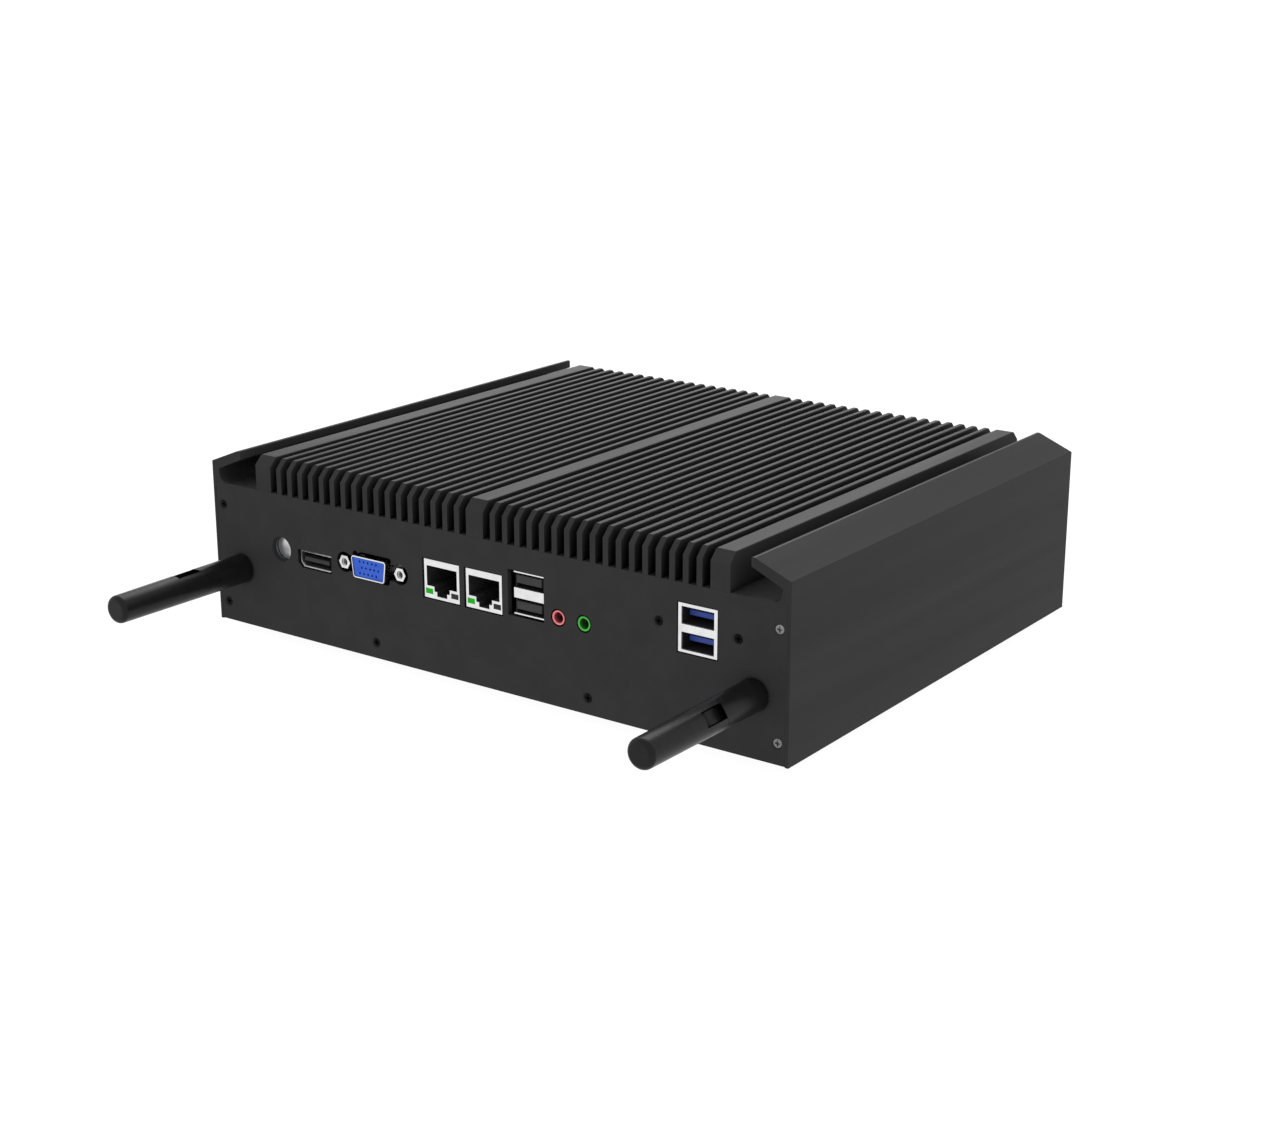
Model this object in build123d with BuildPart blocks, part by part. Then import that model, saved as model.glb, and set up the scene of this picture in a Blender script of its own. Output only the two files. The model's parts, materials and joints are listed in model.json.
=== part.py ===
"""Fanless mini computer: finned aluminium housing, port panels, boards and two folding antennas.

Frame: +X to the right along the port panel, +Y from the port panel to the rear, +Z up.
The origin is the middle of the housing's footprint, on the surface that the feet stand on.
All sizes are in millimetres. Heights on the port panel are given by up(), above its lower edge.
"""

from build123d import *
import os
from math import cos, radians, sin, tan

os.makedirs("parts", exist_ok=True)

# ---------------------------------------------------------------- driving dimensions: housing
WIDTH = 240.0
DEPTH = 188.0
FOOT_HEIGHT = 3.4
WALL_DROP = 0.2
PANEL_BOTTOM = FOOT_HEIGHT + WALL_DROP
WALL = 3.0
PLATE_TOP = 50.8
PLATE_UNDERSIDE = 46.4
CORNER_TOP = 58.1
HOOK_TOP = 63.3
HOOK_TIP_X = 105.9
HOOK_FLAT_X = 107.2
HOOK_APEX_X = 116.9
HOOK_ROOT_X = 113.5
FIN_TOP = 62.9
FIN_WIDTH = 2.0
FIN_GAP = 3.0
FINS_PER_SIDE = 17
RIB_WIDTH = 7.0
FIN_END_CHAMFER = 3.2
PANEL_THICKNESS = 2.0
LIP = 1.2
SEAM = 0.05
PANEL_EDGE_BREAK = 0.08
COVER_THICKNESS = 1.5
RAIL_TOP = 10.4
RAIL_X = 108.0
CORNER_BLOCK_X = 111.0
CORNER_BLOCK_Z = 38.6

# ---------------------------------------------------------------- driving dimensions: ports
SCREW_X = 115.8
SCREW_LOW = 6.8
SCREW_HIGH = 42.7
FLANGE_SCREW_X = 45.0
FLANGE_SCREW_Z = 5.5
CLEARANCE_RADIUS = 1.35
COUNTERSINK_RADIUS = 2.1
THREAD_RADIUS = 1.25
SHANK_RADIUS = 1.2
BUTTON_X = -87.9
BUTTON_Z = 31.1
BUTTON_RADIUS = 4.35
BUTTON_RECESS = 2.4
BUTTON_TRAVEL = 0.8
VIDEO_X = -71.7
VIDEO_Z = 29.55
VIDEO_WIDTH = 14.6
VIDEO_HEIGHT = 5.8
VIDEO_CUT_LEFT = 8.4
VIDEO_CUT_RIGHT = 7.5
VIDEO_CUT_BOTTOM = 26.2
VIDEO_CUT_TOP = 32.65
D_SUB_X = -45.45
D_SUB_Z = 31.95
D_SUB_REACH = 1.85
D_SUB_FLANGE_DEPTH = 4.15
POST_REACH = 0.15
POST_SPACING = 25.0
POST_ACROSS_FLATS = 4.4
POST_BORE_RADIUS = 1.3
POST_CUT_RADIUS = 3.6
D_SUB_HALF_WIDTH = 7.85
D_SUB_HALF_HEIGHT = 3.85
D_SUB_SLANT = 7.0
D_SUB_WALL = 0.45
D_SUB_CORNER = 1.1
D_SUB_CUT_GAP = 1.0
D_SUB_CUT_NECK = 5.8
FLANGE_WIDTH = 31.0
FLANGE_HEIGHT = 11.4
FLANGE_THICKNESS = 0.8
FLANGE_CORNER = 1.2
FLANGE_HOLE_RADIUS = 1.6
CONNECTOR_BLOCK_HEIGHT = 10.6
JACK_X = (-14.85, 3.1)
JACK_WIDTH = 15.1
JACK_BOTTOM = 26.4
JACK_TOP = 39.7
JACK_DEPTH = 21.0
USB2_X = 21.7
USB2_WIDTH = 12.1
USB2_BOTTOM = 27.9
USB2_TOP = 42.4
AUDIO_X = (33.8, 43.95)
AUDIO_Z = 30.15
AUDIO_BORE = 1.8
AUDIO_COLLAR_RADIUS = 2.45
AUDIO_CUT_RADIUS = 2.95
USB3_X = 86.9
USB3_WIDTH = 14.4
USB3_BOTTOM = 28.6
USB3_TOP = 44.4
USB3_SCREW_OFFSET = 14.5
USB3_SCREW_Z = 36.8

# ---------------------------------------------------------------- driving dimensions: antennas
ANTENNA_X = 107.5
ANTENNA_Z = 20.7
ANTENNA_RADIUS = 5.25
ANTENNA_TIP_RADIUS = 4.83
ANTENNA_LENGTH = 58.4
TIP_ROUNDING = 1.6
HINGE_REACH = 27.3
NOTCH_END = 31.7
NOTCH_WIDTH = 5.0
TONGUE_WIDTH = 4.2
TONGUE_RADIUS = 2.7
KNUCKLE_RADIUS = 7.15
KNUCKLE_GAP = 0.12
PIN_RADIUS = 1.0
PIN_HALF_LENGTH = 4.3
BARREL_RADIUS = 3.1
RUNNING_CLEARANCE = 0.06
NOTCH_DIRECTION = {"left": 95.0, "right": 35.0}

# ---------------------------------------------------------------- driving dimensions: inside
BOARD_TOP = 26.1
BOARD_THICKNESS = 1.6
BOARD_LEFT = -80.2
BOARD_RIGHT = 65.8
BOARD_FRONT = -91.0
BOARD_REAR = 13.0
SERIAL_X = (18.0, 62.0)
SERIAL_Z = 28.0
POWER_X = -78.0
POWER_Z = 28.0


def up(height):
    """Height above the table of a point that is this high above the port panel's lower edge."""
    return PANEL_BOTTOM + height


FRONT_Y = -DEPTH / 2
REAR_Y = DEPTH / 2
HALF = WIDTH / 2
FIN_PITCH = FIN_WIDTH + FIN_GAP
END_RIB_X = RIB_WIDTH / 2 + FINS_PER_SIDE * FIN_PITCH + FIN_GAP + RIB_WIDTH / 2
FIN_BLOCK_X = END_RIB_X + RIB_WIDTH / 2

# Looking at the port panel: local x is +X, local y is +Z and the normal points out of the panel.
FRONT = Plane.XZ.offset(DEPTH / 2)
PANEL_BACK = FRONT.offset(-PANEL_THICKNESS)
# The rear surface with its normal pointing out of the housing; local x is -X.
REAR = Plane(origin=(0, REAR_Y, 0), x_dir=(-1, 0, 0), z_dir=(0, 1, 0))
REAR_PANEL_BACK = REAR.offset(-PANEL_THICKNESS)

CORNER_SPOTS = [(x, up(z)) for x in (-SCREW_X, SCREW_X) for z in (SCREW_LOW, SCREW_HIGH)]
FLANGE_SPOTS = [(x, up(FLANGE_SCREW_Z)) for x in (-FLANGE_SCREW_X, FLANGE_SCREW_X)]
POST_SPOTS = [(side * POST_SPACING / 2, 0) for side in (-1, 1)]


def d_outline(half_width, half_height, corner):
    """Sketch of a D-sub outline, wide side up, inside the active sketch."""
    slope = 2 * half_height * tan(radians(D_SUB_SLANT))
    with BuildSketch(mode=Mode.PRIVATE) as outline:
        with BuildLine():
            Polyline(
                (-half_width, half_height),
                (half_width, half_height),
                (half_width - slope, -half_height),
                (-half_width + slope, -half_height),
                close=True,
            )
        make_face()
        fillet(outline.vertices(), radius=corner)
    return outline.sketch


def d_sub_cut_out():
    """Sketch of a panel's D-sub cut-out: a gap around the outline, joined to a round end about each post."""
    with BuildSketch(mode=Mode.PRIVATE) as cut_out:
        add(d_outline(D_SUB_HALF_WIDTH + D_SUB_CUT_GAP, D_SUB_HALF_HEIGHT + D_SUB_CUT_GAP, D_SUB_CORNER))
        Rectangle(POST_SPACING, D_SUB_CUT_NECK)
        with Locations(*POST_SPOTS):
            Circle(POST_CUT_RADIUS)
    return cut_out.sketch


# ---------------------------------------------------------------- housing extrusion
with BuildPart() as body_extrusion:
    with BuildSketch(Plane.XZ.offset(-DEPTH / 2)) as section:
        with BuildLine():
            Polyline((0, up(PLATE_TOP)), (HOOK_ROOT_X, up(PLATE_TOP)))
            ThreePointArc(
                (HOOK_ROOT_X, up(PLATE_TOP)),
                (HOOK_ROOT_X + 2.4, up(PLATE_TOP + 1.1)),
                (HOOK_APEX_X, up(PLATE_TOP + 3.5)),
            )
            Polyline(
                (HOOK_APEX_X, up(PLATE_TOP + 3.5)),
                (HOOK_APEX_X, up(CORNER_TOP - 2.5)),
                (HOOK_TIP_X, up(HOOK_TOP - 2.9)),
                (HOOK_TIP_X, up(HOOK_TOP)),
                (HOOK_FLAT_X, up(HOOK_TOP)),
                (HALF, up(CORNER_TOP)),
                (HALF, FOOT_HEIGHT),
                (HALF - 2.0, FOOT_HEIGHT),
                (HALF - 2.0, up(COVER_THICKNESS + SEAM)),
                (RAIL_X, up(COVER_THICKNESS + SEAM)),
                (RAIL_X, up(RAIL_TOP)),
                (HALF - WALL, up(RAIL_TOP)),
                (HALF - WALL, up(CORNER_BLOCK_Z)),
                (CORNER_BLOCK_X, up(CORNER_BLOCK_Z)),
                (CORNER_BLOCK_X, up(PLATE_UNDERSIDE)),
                (0, up(PLATE_UNDERSIDE)),
                (0, up(PLATE_TOP)),
            )
        make_face()
        hook_edges = section.vertices().filter_by_position(Axis.Y, up(CORNER_TOP) - 0.1, up(HOOK_TOP) + 0.1)
        fillet(hook_edges, radius=0.4)
        mirror(about=Plane.YZ)
    extrude(amount=DEPTH)
    with BuildSketch(Plane.XZ.offset(-DEPTH / 2)) as fins:
        fin_height = FIN_TOP - PLATE_TOP + 1.0
        fin_middle = up(PLATE_TOP - 1.0 + fin_height / 2)
        with Locations((-END_RIB_X, fin_middle), (0, fin_middle), (END_RIB_X, fin_middle)):
            Rectangle(RIB_WIDTH, fin_height)
        for side in (-1, 1):
            for fin in range(FINS_PER_SIDE):
                fin_x = RIB_WIDTH / 2 + FIN_GAP + FIN_WIDTH / 2 + fin * FIN_PITCH
                with Locations((side * fin_x, fin_middle)):
                    Rectangle(FIN_WIDTH, fin_height)
        fillet(fins.vertices().group_by(Axis.Y)[-1], radius=0.35)
    extrude(amount=DEPTH)
    # The fins' upper corners are bevelled at both ends.
    with BuildSketch(Plane.YZ.offset(-FIN_BLOCK_X - 1)):
        for end in (-1, 1):
            with BuildLine():
                Polyline(
                    (end * (REAR_Y + 1), up(FIN_TOP - FIN_END_CHAMFER - 1)),
                    (end * (REAR_Y + 1), up(FIN_TOP + 1)),
                    (end * (REAR_Y - FIN_END_CHAMFER - 1), up(FIN_TOP + 1)),
                    close=True,
                )
            make_face()
    extrude(amount=2 * FIN_BLOCK_X + 2, mode=Mode.SUBTRACT)
    # A step at each end takes the panel, flush with the end faces.
    for end_plane in (FRONT, REAR):
        with BuildSketch(end_plane):
            with Locations((0, up(PLATE_TOP) / 2)):
                Rectangle(WIDTH - 2 * LIP, up(PLATE_TOP))
        extrude(amount=-PANEL_THICKNESS, mode=Mode.SUBTRACT)
        with Locations(end_plane.offset(-PANEL_THICKNESS)):
            with Locations(*CORNER_SPOTS):
                Hole(radius=THREAD_RADIUS, depth=12)

# ---------------------------------------------------------------- port panel
with BuildPart() as front_panel:
    with BuildSketch(FRONT):
        with Locations((0, up(PLATE_TOP / 2))):
            Rectangle(WIDTH - 2 * LIP - 2 * SEAM, PLATE_TOP - SEAM)
    extrude(amount=-PANEL_THICKNESS)
    chamfer(front_panel.faces().sort_by(Axis.Y)[0].outer_wire().edges(), length=PANEL_EDGE_BREAK)
    with BuildSketch(FRONT):
        with Locations((BUTTON_X, up(BUTTON_Z))):
            Circle(BUTTON_RADIUS + 0.15)
        with BuildLine():
            Polyline(
                (VIDEO_X - VIDEO_CUT_LEFT, up(VIDEO_CUT_TOP)),
                (VIDEO_X + VIDEO_CUT_RIGHT, up(VIDEO_CUT_TOP)),
                (VIDEO_X + VIDEO_CUT_RIGHT, up(VIDEO_CUT_BOTTOM + 0.5)),
                (VIDEO_X + VIDEO_CUT_RIGHT - 0.5, up(VIDEO_CUT_BOTTOM)),
                (VIDEO_X - VIDEO_CUT_LEFT + 2.1, up(VIDEO_CUT_BOTTOM)),
                (VIDEO_X - VIDEO_CUT_LEFT, up(VIDEO_CUT_BOTTOM + 1.7)),
                close=True,
            )
        make_face()
        with Locations((D_SUB_X, up(D_SUB_Z))):
            add(d_sub_cut_out())
        for jack_x in JACK_X:
            with Locations((jack_x, up((JACK_BOTTOM + JACK_TOP) / 2))):
                Rectangle(JACK_WIDTH + 1.1, JACK_TOP - JACK_BOTTOM + 0.7)
        with Locations((USB2_X - 1.0, up((USB2_BOTTOM + USB2_TOP) / 2 - 0.2))):
            Rectangle(USB2_WIDTH + 2.6, USB2_TOP - USB2_BOTTOM + 1.0)
        with Locations(*[(x, up(AUDIO_Z)) for x in AUDIO_X]):
            Circle(AUDIO_CUT_RADIUS)
        with Locations((USB3_X, up((USB3_BOTTOM + USB3_TOP) / 2))):
            Rectangle(USB3_WIDTH + 0.7, USB3_TOP - USB3_BOTTOM + 0.7)
        with Locations(*[(side * ANTENNA_X, up(ANTENNA_Z)) for side in (-1, 1)]):
            Circle(BARREL_RADIUS + 0.1)
    extrude(amount=-PANEL_THICKNESS, mode=Mode.SUBTRACT)
    USB3_SPOTS = [(USB3_X + side * USB3_SCREW_OFFSET, up(USB3_SCREW_Z)) for side in (-1, 1)]
    with Locations(FRONT):
        with Locations(*CORNER_SPOTS, *FLANGE_SPOTS, *USB3_SPOTS):
            CounterSinkHole(CLEARANCE_RADIUS, COUNTERSINK_RADIUS, counter_sink_angle=90)

# ---------------------------------------------------------------- rear panel
with BuildPart() as rear_panel:
    with BuildSketch(REAR):
        with Locations((0, up(PLATE_TOP / 2))):
            Rectangle(WIDTH - 2 * LIP - 2 * SEAM, PLATE_TOP - SEAM)
    extrude(amount=-PANEL_THICKNESS)
    chamfer(rear_panel.faces().sort_by(Axis.Y)[-1].outer_wire().edges(), length=PANEL_EDGE_BREAK)
    with BuildSketch(REAR):
        with Locations((-POWER_X, up(POWER_Z))):
            Circle(4.1)
        for serial_x in SERIAL_X:
            with Locations((-serial_x, up(SERIAL_Z))):
                add(d_sub_cut_out())
    extrude(amount=-PANEL_THICKNESS, mode=Mode.SUBTRACT)
    with Locations(REAR):
        with Locations(*CORNER_SPOTS, *FLANGE_SPOTS):
            CounterSinkHole(CLEARANCE_RADIUS, COUNTERSINK_RADIUS, counter_sink_angle=90)

# ---------------------------------------------------------------- bottom cover and feet
COVER_END = REAR_Y - PANEL_THICKNESS - SEAM
COVER_UNDERSIDE = up(SEAM)
COVER_TOP = up(COVER_THICKNESS)
FLANGE_TOP = up(9.5)
FOOT_SPOTS = [(x, y) for x in (-94, 94) for y in (-70, 70)]
COVER_SCREW_SPOTS = [(x, y) for x in (-112.5, 112.5) for y in (-60, 60)]
with BuildPart() as bottom_cover:
    with BuildSketch(Plane.XY.offset(COVER_UNDERSIDE)):
        Rectangle(2 * (HALF - 2.0 - SEAM), 2 * COVER_END)
    extrude(amount=COVER_TOP - COVER_UNDERSIDE)
    for end in (-1, 1):
        with BuildSketch(Plane.XY.offset(COVER_UNDERSIDE)):
            with Locations((0, end * (COVER_END - COVER_THICKNESS / 2))):
                Rectangle(2 * RAIL_X - 6.0, COVER_THICKNESS)
        extrude(amount=FLANGE_TOP - COVER_UNDERSIDE)
    # Round clinch nuts behind the flanges take the two low screws of each panel.
    for flange_plane in (PANEL_BACK, REAR_PANEL_BACK):
        with BuildSketch(flange_plane.offset(-SEAM - COVER_THICKNESS)):
            with Locations(*FLANGE_SPOTS):
                Circle(2.8)
        extrude(amount=-2.0)
        with Locations(flange_plane):
            with Locations(*FLANGE_SPOTS):
                Hole(radius=THREAD_RADIUS, depth=6)
    with Locations(Plane(origin=(0, 0, COVER_UNDERSIDE), z_dir=(0, 0, -1))):
        with Locations(*COVER_SCREW_SPOTS):
            CounterSinkHole(CLEARANCE_RADIUS, COUNTERSINK_RADIUS, counter_sink_angle=90)

# One foot with its sole at z = 0.
with BuildPart() as rubber_foot:
    with BuildSketch(Plane.XZ):
        with BuildLine():
            Line((0, 0), (5.6, 0))
            ThreePointArc((5.6, 0), (6.4, 0.35), (6.8, 1.1))
            Polyline((6.8, 1.1), (7.4, COVER_UNDERSIDE), (0, COVER_UNDERSIDE), (0, 0))
        make_face()
    revolve(axis=Axis.Z)

with BuildPart() as rubber_feet:
    with Locations(*FOOT_SPOTS):
        add(rubber_foot.part)


# ---------------------------------------------------------------- screws
HEAD_RECESS = 0.52
HEAD_RADIUS = 1.5
SCREW_LENGTH = 7.0
CROSS_SPAN = 1.9
CROSS_WIDTH = 0.42
# One countersunk cross-head screw with its head's rim at z = 0 and its shank along -z.
with BuildPart() as countersunk_screw:
    with BuildSketch(Plane.XZ):
        with BuildLine():
            Polyline(
                (0, -HEAD_RECESS),
                (HEAD_RADIUS - 0.08, -HEAD_RECESS),
                (HEAD_RADIUS, -HEAD_RECESS - 0.06),
                (SHANK_RADIUS, -HEAD_RECESS - 0.36),
                (SHANK_RADIUS, -SCREW_LENGTH),
                (0, -SCREW_LENGTH),
                close=True,
            )
        make_face()
    revolve(axis=Axis.Z)
    with BuildSketch(Plane.XY.offset(-HEAD_RECESS)):
        Rectangle(CROSS_SPAN, CROSS_WIDTH)
        Rectangle(CROSS_WIDTH, CROSS_SPAN)
        Circle(0.5)
    extrude(amount=-0.7, mode=Mode.SUBTRACT)

PAN_RADIUS = 2.7
PAN_HEIGHT = 1.8
# One cylinder-head board screw with its head's underside at z = 0 and its shank along -z.
with BuildPart() as pan_screw:
    with BuildSketch(Plane.XZ):
        with BuildLine():
            Polyline(
                (0, PAN_HEIGHT),
                (PAN_RADIUS - 0.7, PAN_HEIGHT),
                (PAN_RADIUS, PAN_HEIGHT - 0.6),
                (PAN_RADIUS, 0),
                (SHANK_RADIUS, 0),
                (SHANK_RADIUS, -5.0),
                (0, -5.0),
                close=True,
            )
        make_face()
    revolve(axis=Axis.Z)
    with BuildSketch(Plane.XY.offset(PAN_HEIGHT)):
        Rectangle(3.0, 0.7)
        Rectangle(0.7, 3.0)
    extrude(amount=-1.0, mode=Mode.SUBTRACT)

with BuildPart() as corner_screws_left:
    with Locations(FRONT):
        with Locations(*CORNER_SPOTS[:2]):
            add(countersunk_screw.part)

with BuildPart() as corner_screws_right:
    with Locations(FRONT):
        with Locations(*CORNER_SPOTS[2:]):
            add(countersunk_screw.part)

with BuildPart() as flange_screws:
    with Locations(FRONT):
        with Locations(*FLANGE_SPOTS):
            add(countersunk_screw.part)

with BuildPart() as usb3_bracket_screws:
    with Locations(FRONT):
        with Locations(*USB3_SPOTS):
            add(countersunk_screw.part)

with BuildPart() as rear_panel_screws:
    with Locations(REAR):
        with Locations(*CORNER_SPOTS, *FLANGE_SPOTS):
            add(countersunk_screw.part)

with BuildPart() as bottom_cover_screws:
    with Locations(Plane(origin=(0, 0, COVER_UNDERSIDE), z_dir=(0, 0, -1))):
        with Locations(*COVER_SCREW_SPOTS):
            add(countersunk_screw.part)

# The side rails take the bottom cover's screws.
with BuildPart(mode=Mode.PRIVATE) as cover_screw_holes:
    with Locations(*[(x, y, up(COVER_THICKNESS)) for x, y in COVER_SCREW_SPOTS]):
        Cylinder(radius=THREAD_RADIUS, height=8.0, align=(Align.CENTER, Align.CENTER, Align.MIN))
body_extrusion.part = body_extrusion.part - cover_screw_holes.part

# ---------------------------------------------------------------- power button
BUTTON_PLANE = Plane(origin=(BUTTON_X, FRONT_Y, up(BUTTON_Z)), x_dir=(1, 0, 0), z_dir=(0, -1, 0))
BARREL_DEPTH = 14.0
BARREL_OUTER_RADIUS = 5.6
BARREL_FLANGE_RADIUS = 6.3
BARREL_BASE = 1.2
SWITCH_SIDE = 10.0
CAP_BACK = 5.4
STEM_RADIUS = 1.5
SPRING_RADIUS = 2.8
with BuildPart() as button_cap:
    with BuildSketch(Plane.XZ):
        with BuildLine():
            Line((0, -CAP_BACK), (0, -BUTTON_RECESS))
            ThreePointArc(
                (0, -BUTTON_RECESS),
                (BUTTON_RADIUS * 0.5, -BUTTON_RECESS - 0.1),
                (BUTTON_RADIUS - 0.3, -BUTTON_RECESS - 0.35),
            )
            Polyline(
                (BUTTON_RADIUS - 0.3, -BUTTON_RECESS - 0.35),
                (BUTTON_RADIUS, -BUTTON_RECESS - 0.6),
                (BUTTON_RADIUS, -CAP_BACK),
                (0, -CAP_BACK),
            )
        make_face()
    revolve(axis=Axis.Z)
    with BuildSketch(Plane.XY.offset(-CAP_BACK)):
        Circle(STEM_RADIUS)
    extrude(amount=-(BARREL_DEPTH - CAP_BACK + 0.5))
button_cap.part = BUTTON_PLANE.location * button_cap.part

with BuildPart() as button_barrel:
    with BuildSketch(BUTTON_PLANE.offset(-PANEL_THICKNESS)):
        Circle(BARREL_FLANGE_RADIUS)
    extrude(amount=-1.5)
    with BuildSketch(BUTTON_PLANE.offset(-PANEL_THICKNESS)):
        Circle(BARREL_OUTER_RADIUS)
    extrude(amount=-(BARREL_DEPTH - PANEL_THICKNESS))
    with BuildSketch(BUTTON_PLANE.offset(-PANEL_THICKNESS)):
        Circle(BUTTON_RADIUS + 0.08)
    extrude(amount=-(BARREL_DEPTH - PANEL_THICKNESS - BARREL_BASE), mode=Mode.SUBTRACT)
    with BuildSketch(BUTTON_PLANE.offset(-PANEL_THICKNESS)):
        Circle(STEM_RADIUS + 0.08)
    extrude(amount=-BARREL_DEPTH, mode=Mode.SUBTRACT)

SPRING_BACK = BARREL_DEPTH - BARREL_BASE
SPRING_WIRE = 0.25
SPRING_TURNS = 5
SPRING_LENGTH = SPRING_BACK - CAP_BACK - 2 * SPRING_WIRE - 0.2
with BuildPart() as button_spring:
    with BuildLine() as coil:
        Helix(
            pitch=SPRING_LENGTH / SPRING_TURNS,
            height=SPRING_LENGTH,
            radius=SPRING_RADIUS,
            center=(BUTTON_X, FRONT_Y + CAP_BACK + SPRING_WIRE + 0.1, up(BUTTON_Z)),
            direction=(0, 1, 0),
        )
    with BuildSketch(Plane(origin=coil.line @ 0, z_dir=coil.line % 0)):
        Circle(SPRING_WIRE)
    sweep(is_frenet=True)

with BuildPart() as button_switch:
    switch_front = BARREL_DEPTH + BUTTON_TRAVEL + 0.6
    with BuildSketch(BUTTON_PLANE.offset(-BARREL_DEPTH)):
        Rectangle(SWITCH_SIDE, SWITCH_SIDE)
        Circle(3.0, mode=Mode.SUBTRACT)
    extrude(amount=-(switch_front - BARREL_DEPTH))
    with BuildSketch(BUTTON_PLANE.offset(-switch_front)):
        Rectangle(SWITCH_SIDE, SWITCH_SIDE)
    extrude(amount=-4.0)
    with BuildSketch(BUTTON_PLANE.offset(-switch_front - 4.0)):
        with GridLocations(5, 3, 2, 2):
            Rectangle(0.5, 1.2)
    extrude(amount=-4.0)

# ---------------------------------------------------------------- digital video socket
VIDEO_RECESS = 0.5
VIDEO_WALL = 0.45
VIDEO_LIP = 0.9
VIDEO_CORNER_CUT = 1.6
VIDEO_CORNER_BREAK = 0.9
VIDEO_TONGUE_DEPTH = 0.2
VIDEO_TONGUE_LENGTH = 9.3


def video_outline(inset):
    """Sketch of the digital video socket's outline: flat top, one lower corner cut off and one broken."""
    half_width = VIDEO_WIDTH / 2 - inset
    half_height = VIDEO_HEIGHT / 2 - inset
    with BuildSketch(mode=Mode.PRIVATE) as outline:
        with BuildLine():
            Polyline(
                (-half_width, half_height),
                (half_width, half_height),
                (half_width, VIDEO_CORNER_BREAK - half_height),
                (half_width - VIDEO_CORNER_BREAK, -half_height),
                (VIDEO_CORNER_CUT - half_width, -half_height),
                (-half_width, VIDEO_CORNER_CUT - half_height),
                close=True,
            )
        make_face()
        fillet(outline.vertices(), radius=0.2)
    return outline.sketch


with BuildPart() as video_port_shell:
    with BuildSketch(FRONT.offset(-VIDEO_RECESS)):
        with Locations((VIDEO_X, up(VIDEO_Z))):
            add(video_outline(0))
    extrude(amount=-11.5)
    with BuildSketch(FRONT.offset(-VIDEO_RECESS)):
        with Locations((VIDEO_X, up(VIDEO_Z))):
            add(video_outline(VIDEO_WALL))
    extrude(amount=-10.5, mode=Mode.SUBTRACT)
    # The right side wall stands back from the lips above and below.
    with BuildSketch(FRONT.offset(-VIDEO_RECESS)):
        with Locations((VIDEO_X + VIDEO_WIDTH / 2, up(VIDEO_Z))):
            Rectangle(3.0, VIDEO_HEIGHT - 2 * VIDEO_WALL)
    extrude(amount=-VIDEO_LIP, mode=Mode.SUBTRACT)
    # Two feet hold the shell to the board.
    with BuildSketch(Plane.XY.offset(up(BOARD_TOP))):
        with Locations(*[(VIDEO_X + side * 4.0, FRONT_Y + 8.0) for side in (-1, 1)]):
            Rectangle(1.6, 5.0)
    extrude(amount=VIDEO_Z - VIDEO_HEIGHT / 2 - BOARD_TOP + 0.1)

with BuildPart() as video_port_tongue:
    with BuildSketch(FRONT.offset(-VIDEO_RECESS - VIDEO_TONGUE_DEPTH)):
        with Locations((VIDEO_X, up(VIDEO_Z))):
            Rectangle(11.6, 1.5)
    extrude(amount=-VIDEO_TONGUE_LENGTH)
    chamfer(video_port_tongue.edges().group_by(Axis.Y)[0], length=0.2)
    with BuildSketch(FRONT.offset(-VIDEO_RECESS - VIDEO_TONGUE_DEPTH - VIDEO_TONGUE_LENGTH)):
        with Locations((VIDEO_X, up(VIDEO_Z))):
            Rectangle(12.0, 2.6)
    extrude(amount=-0.8)

# ---------------------------------------------------------------- D-sub video socket
# The shell's flange lies behind the panel, and the posts stand on it and come flush with the panel.
D_SUB_FLANGE = FRONT.offset(-D_SUB_FLANGE_DEPTH)
D_SUB_INNER_CORNER = D_SUB_CORNER - D_SUB_WALL
INSERT_HALF_WIDTH = D_SUB_HALF_WIDTH - D_SUB_WALL - 0.03
INSERT_HALF_HEIGHT = D_SUB_HALF_HEIGHT - D_SUB_WALL - 0.03
with BuildPart() as d_sub_shell:
    with BuildSketch(D_SUB_FLANGE):
        with Locations((D_SUB_X, up(D_SUB_Z))):
            RectangleRounded(FLANGE_WIDTH, FLANGE_HEIGHT, FLANGE_CORNER)
            with Locations(*POST_SPOTS):
                Circle(FLANGE_HOLE_RADIUS, mode=Mode.SUBTRACT)
    extrude(amount=-FLANGE_THICKNESS)
    with BuildSketch(D_SUB_FLANGE.offset(-FLANGE_THICKNESS)):
        with Locations((D_SUB_X, up(D_SUB_Z))):
            add(d_outline(D_SUB_HALF_WIDTH, D_SUB_HALF_HEIGHT, D_SUB_CORNER))
    extrude(amount=FLANGE_THICKNESS + D_SUB_FLANGE_DEPTH + D_SUB_REACH)
    fillet(d_sub_shell.edges().group_by(Axis.Y)[0], radius=0.12)
    with BuildSketch(D_SUB_FLANGE.offset(-FLANGE_THICKNESS)):
        with Locations((D_SUB_X, up(D_SUB_Z))):
            add(d_outline(D_SUB_HALF_WIDTH - D_SUB_WALL, D_SUB_HALF_HEIGHT - D_SUB_WALL, D_SUB_INNER_CORNER))
    extrude(amount=FLANGE_THICKNESS + D_SUB_FLANGE_DEPTH + D_SUB_REACH + 1, mode=Mode.SUBTRACT)

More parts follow.
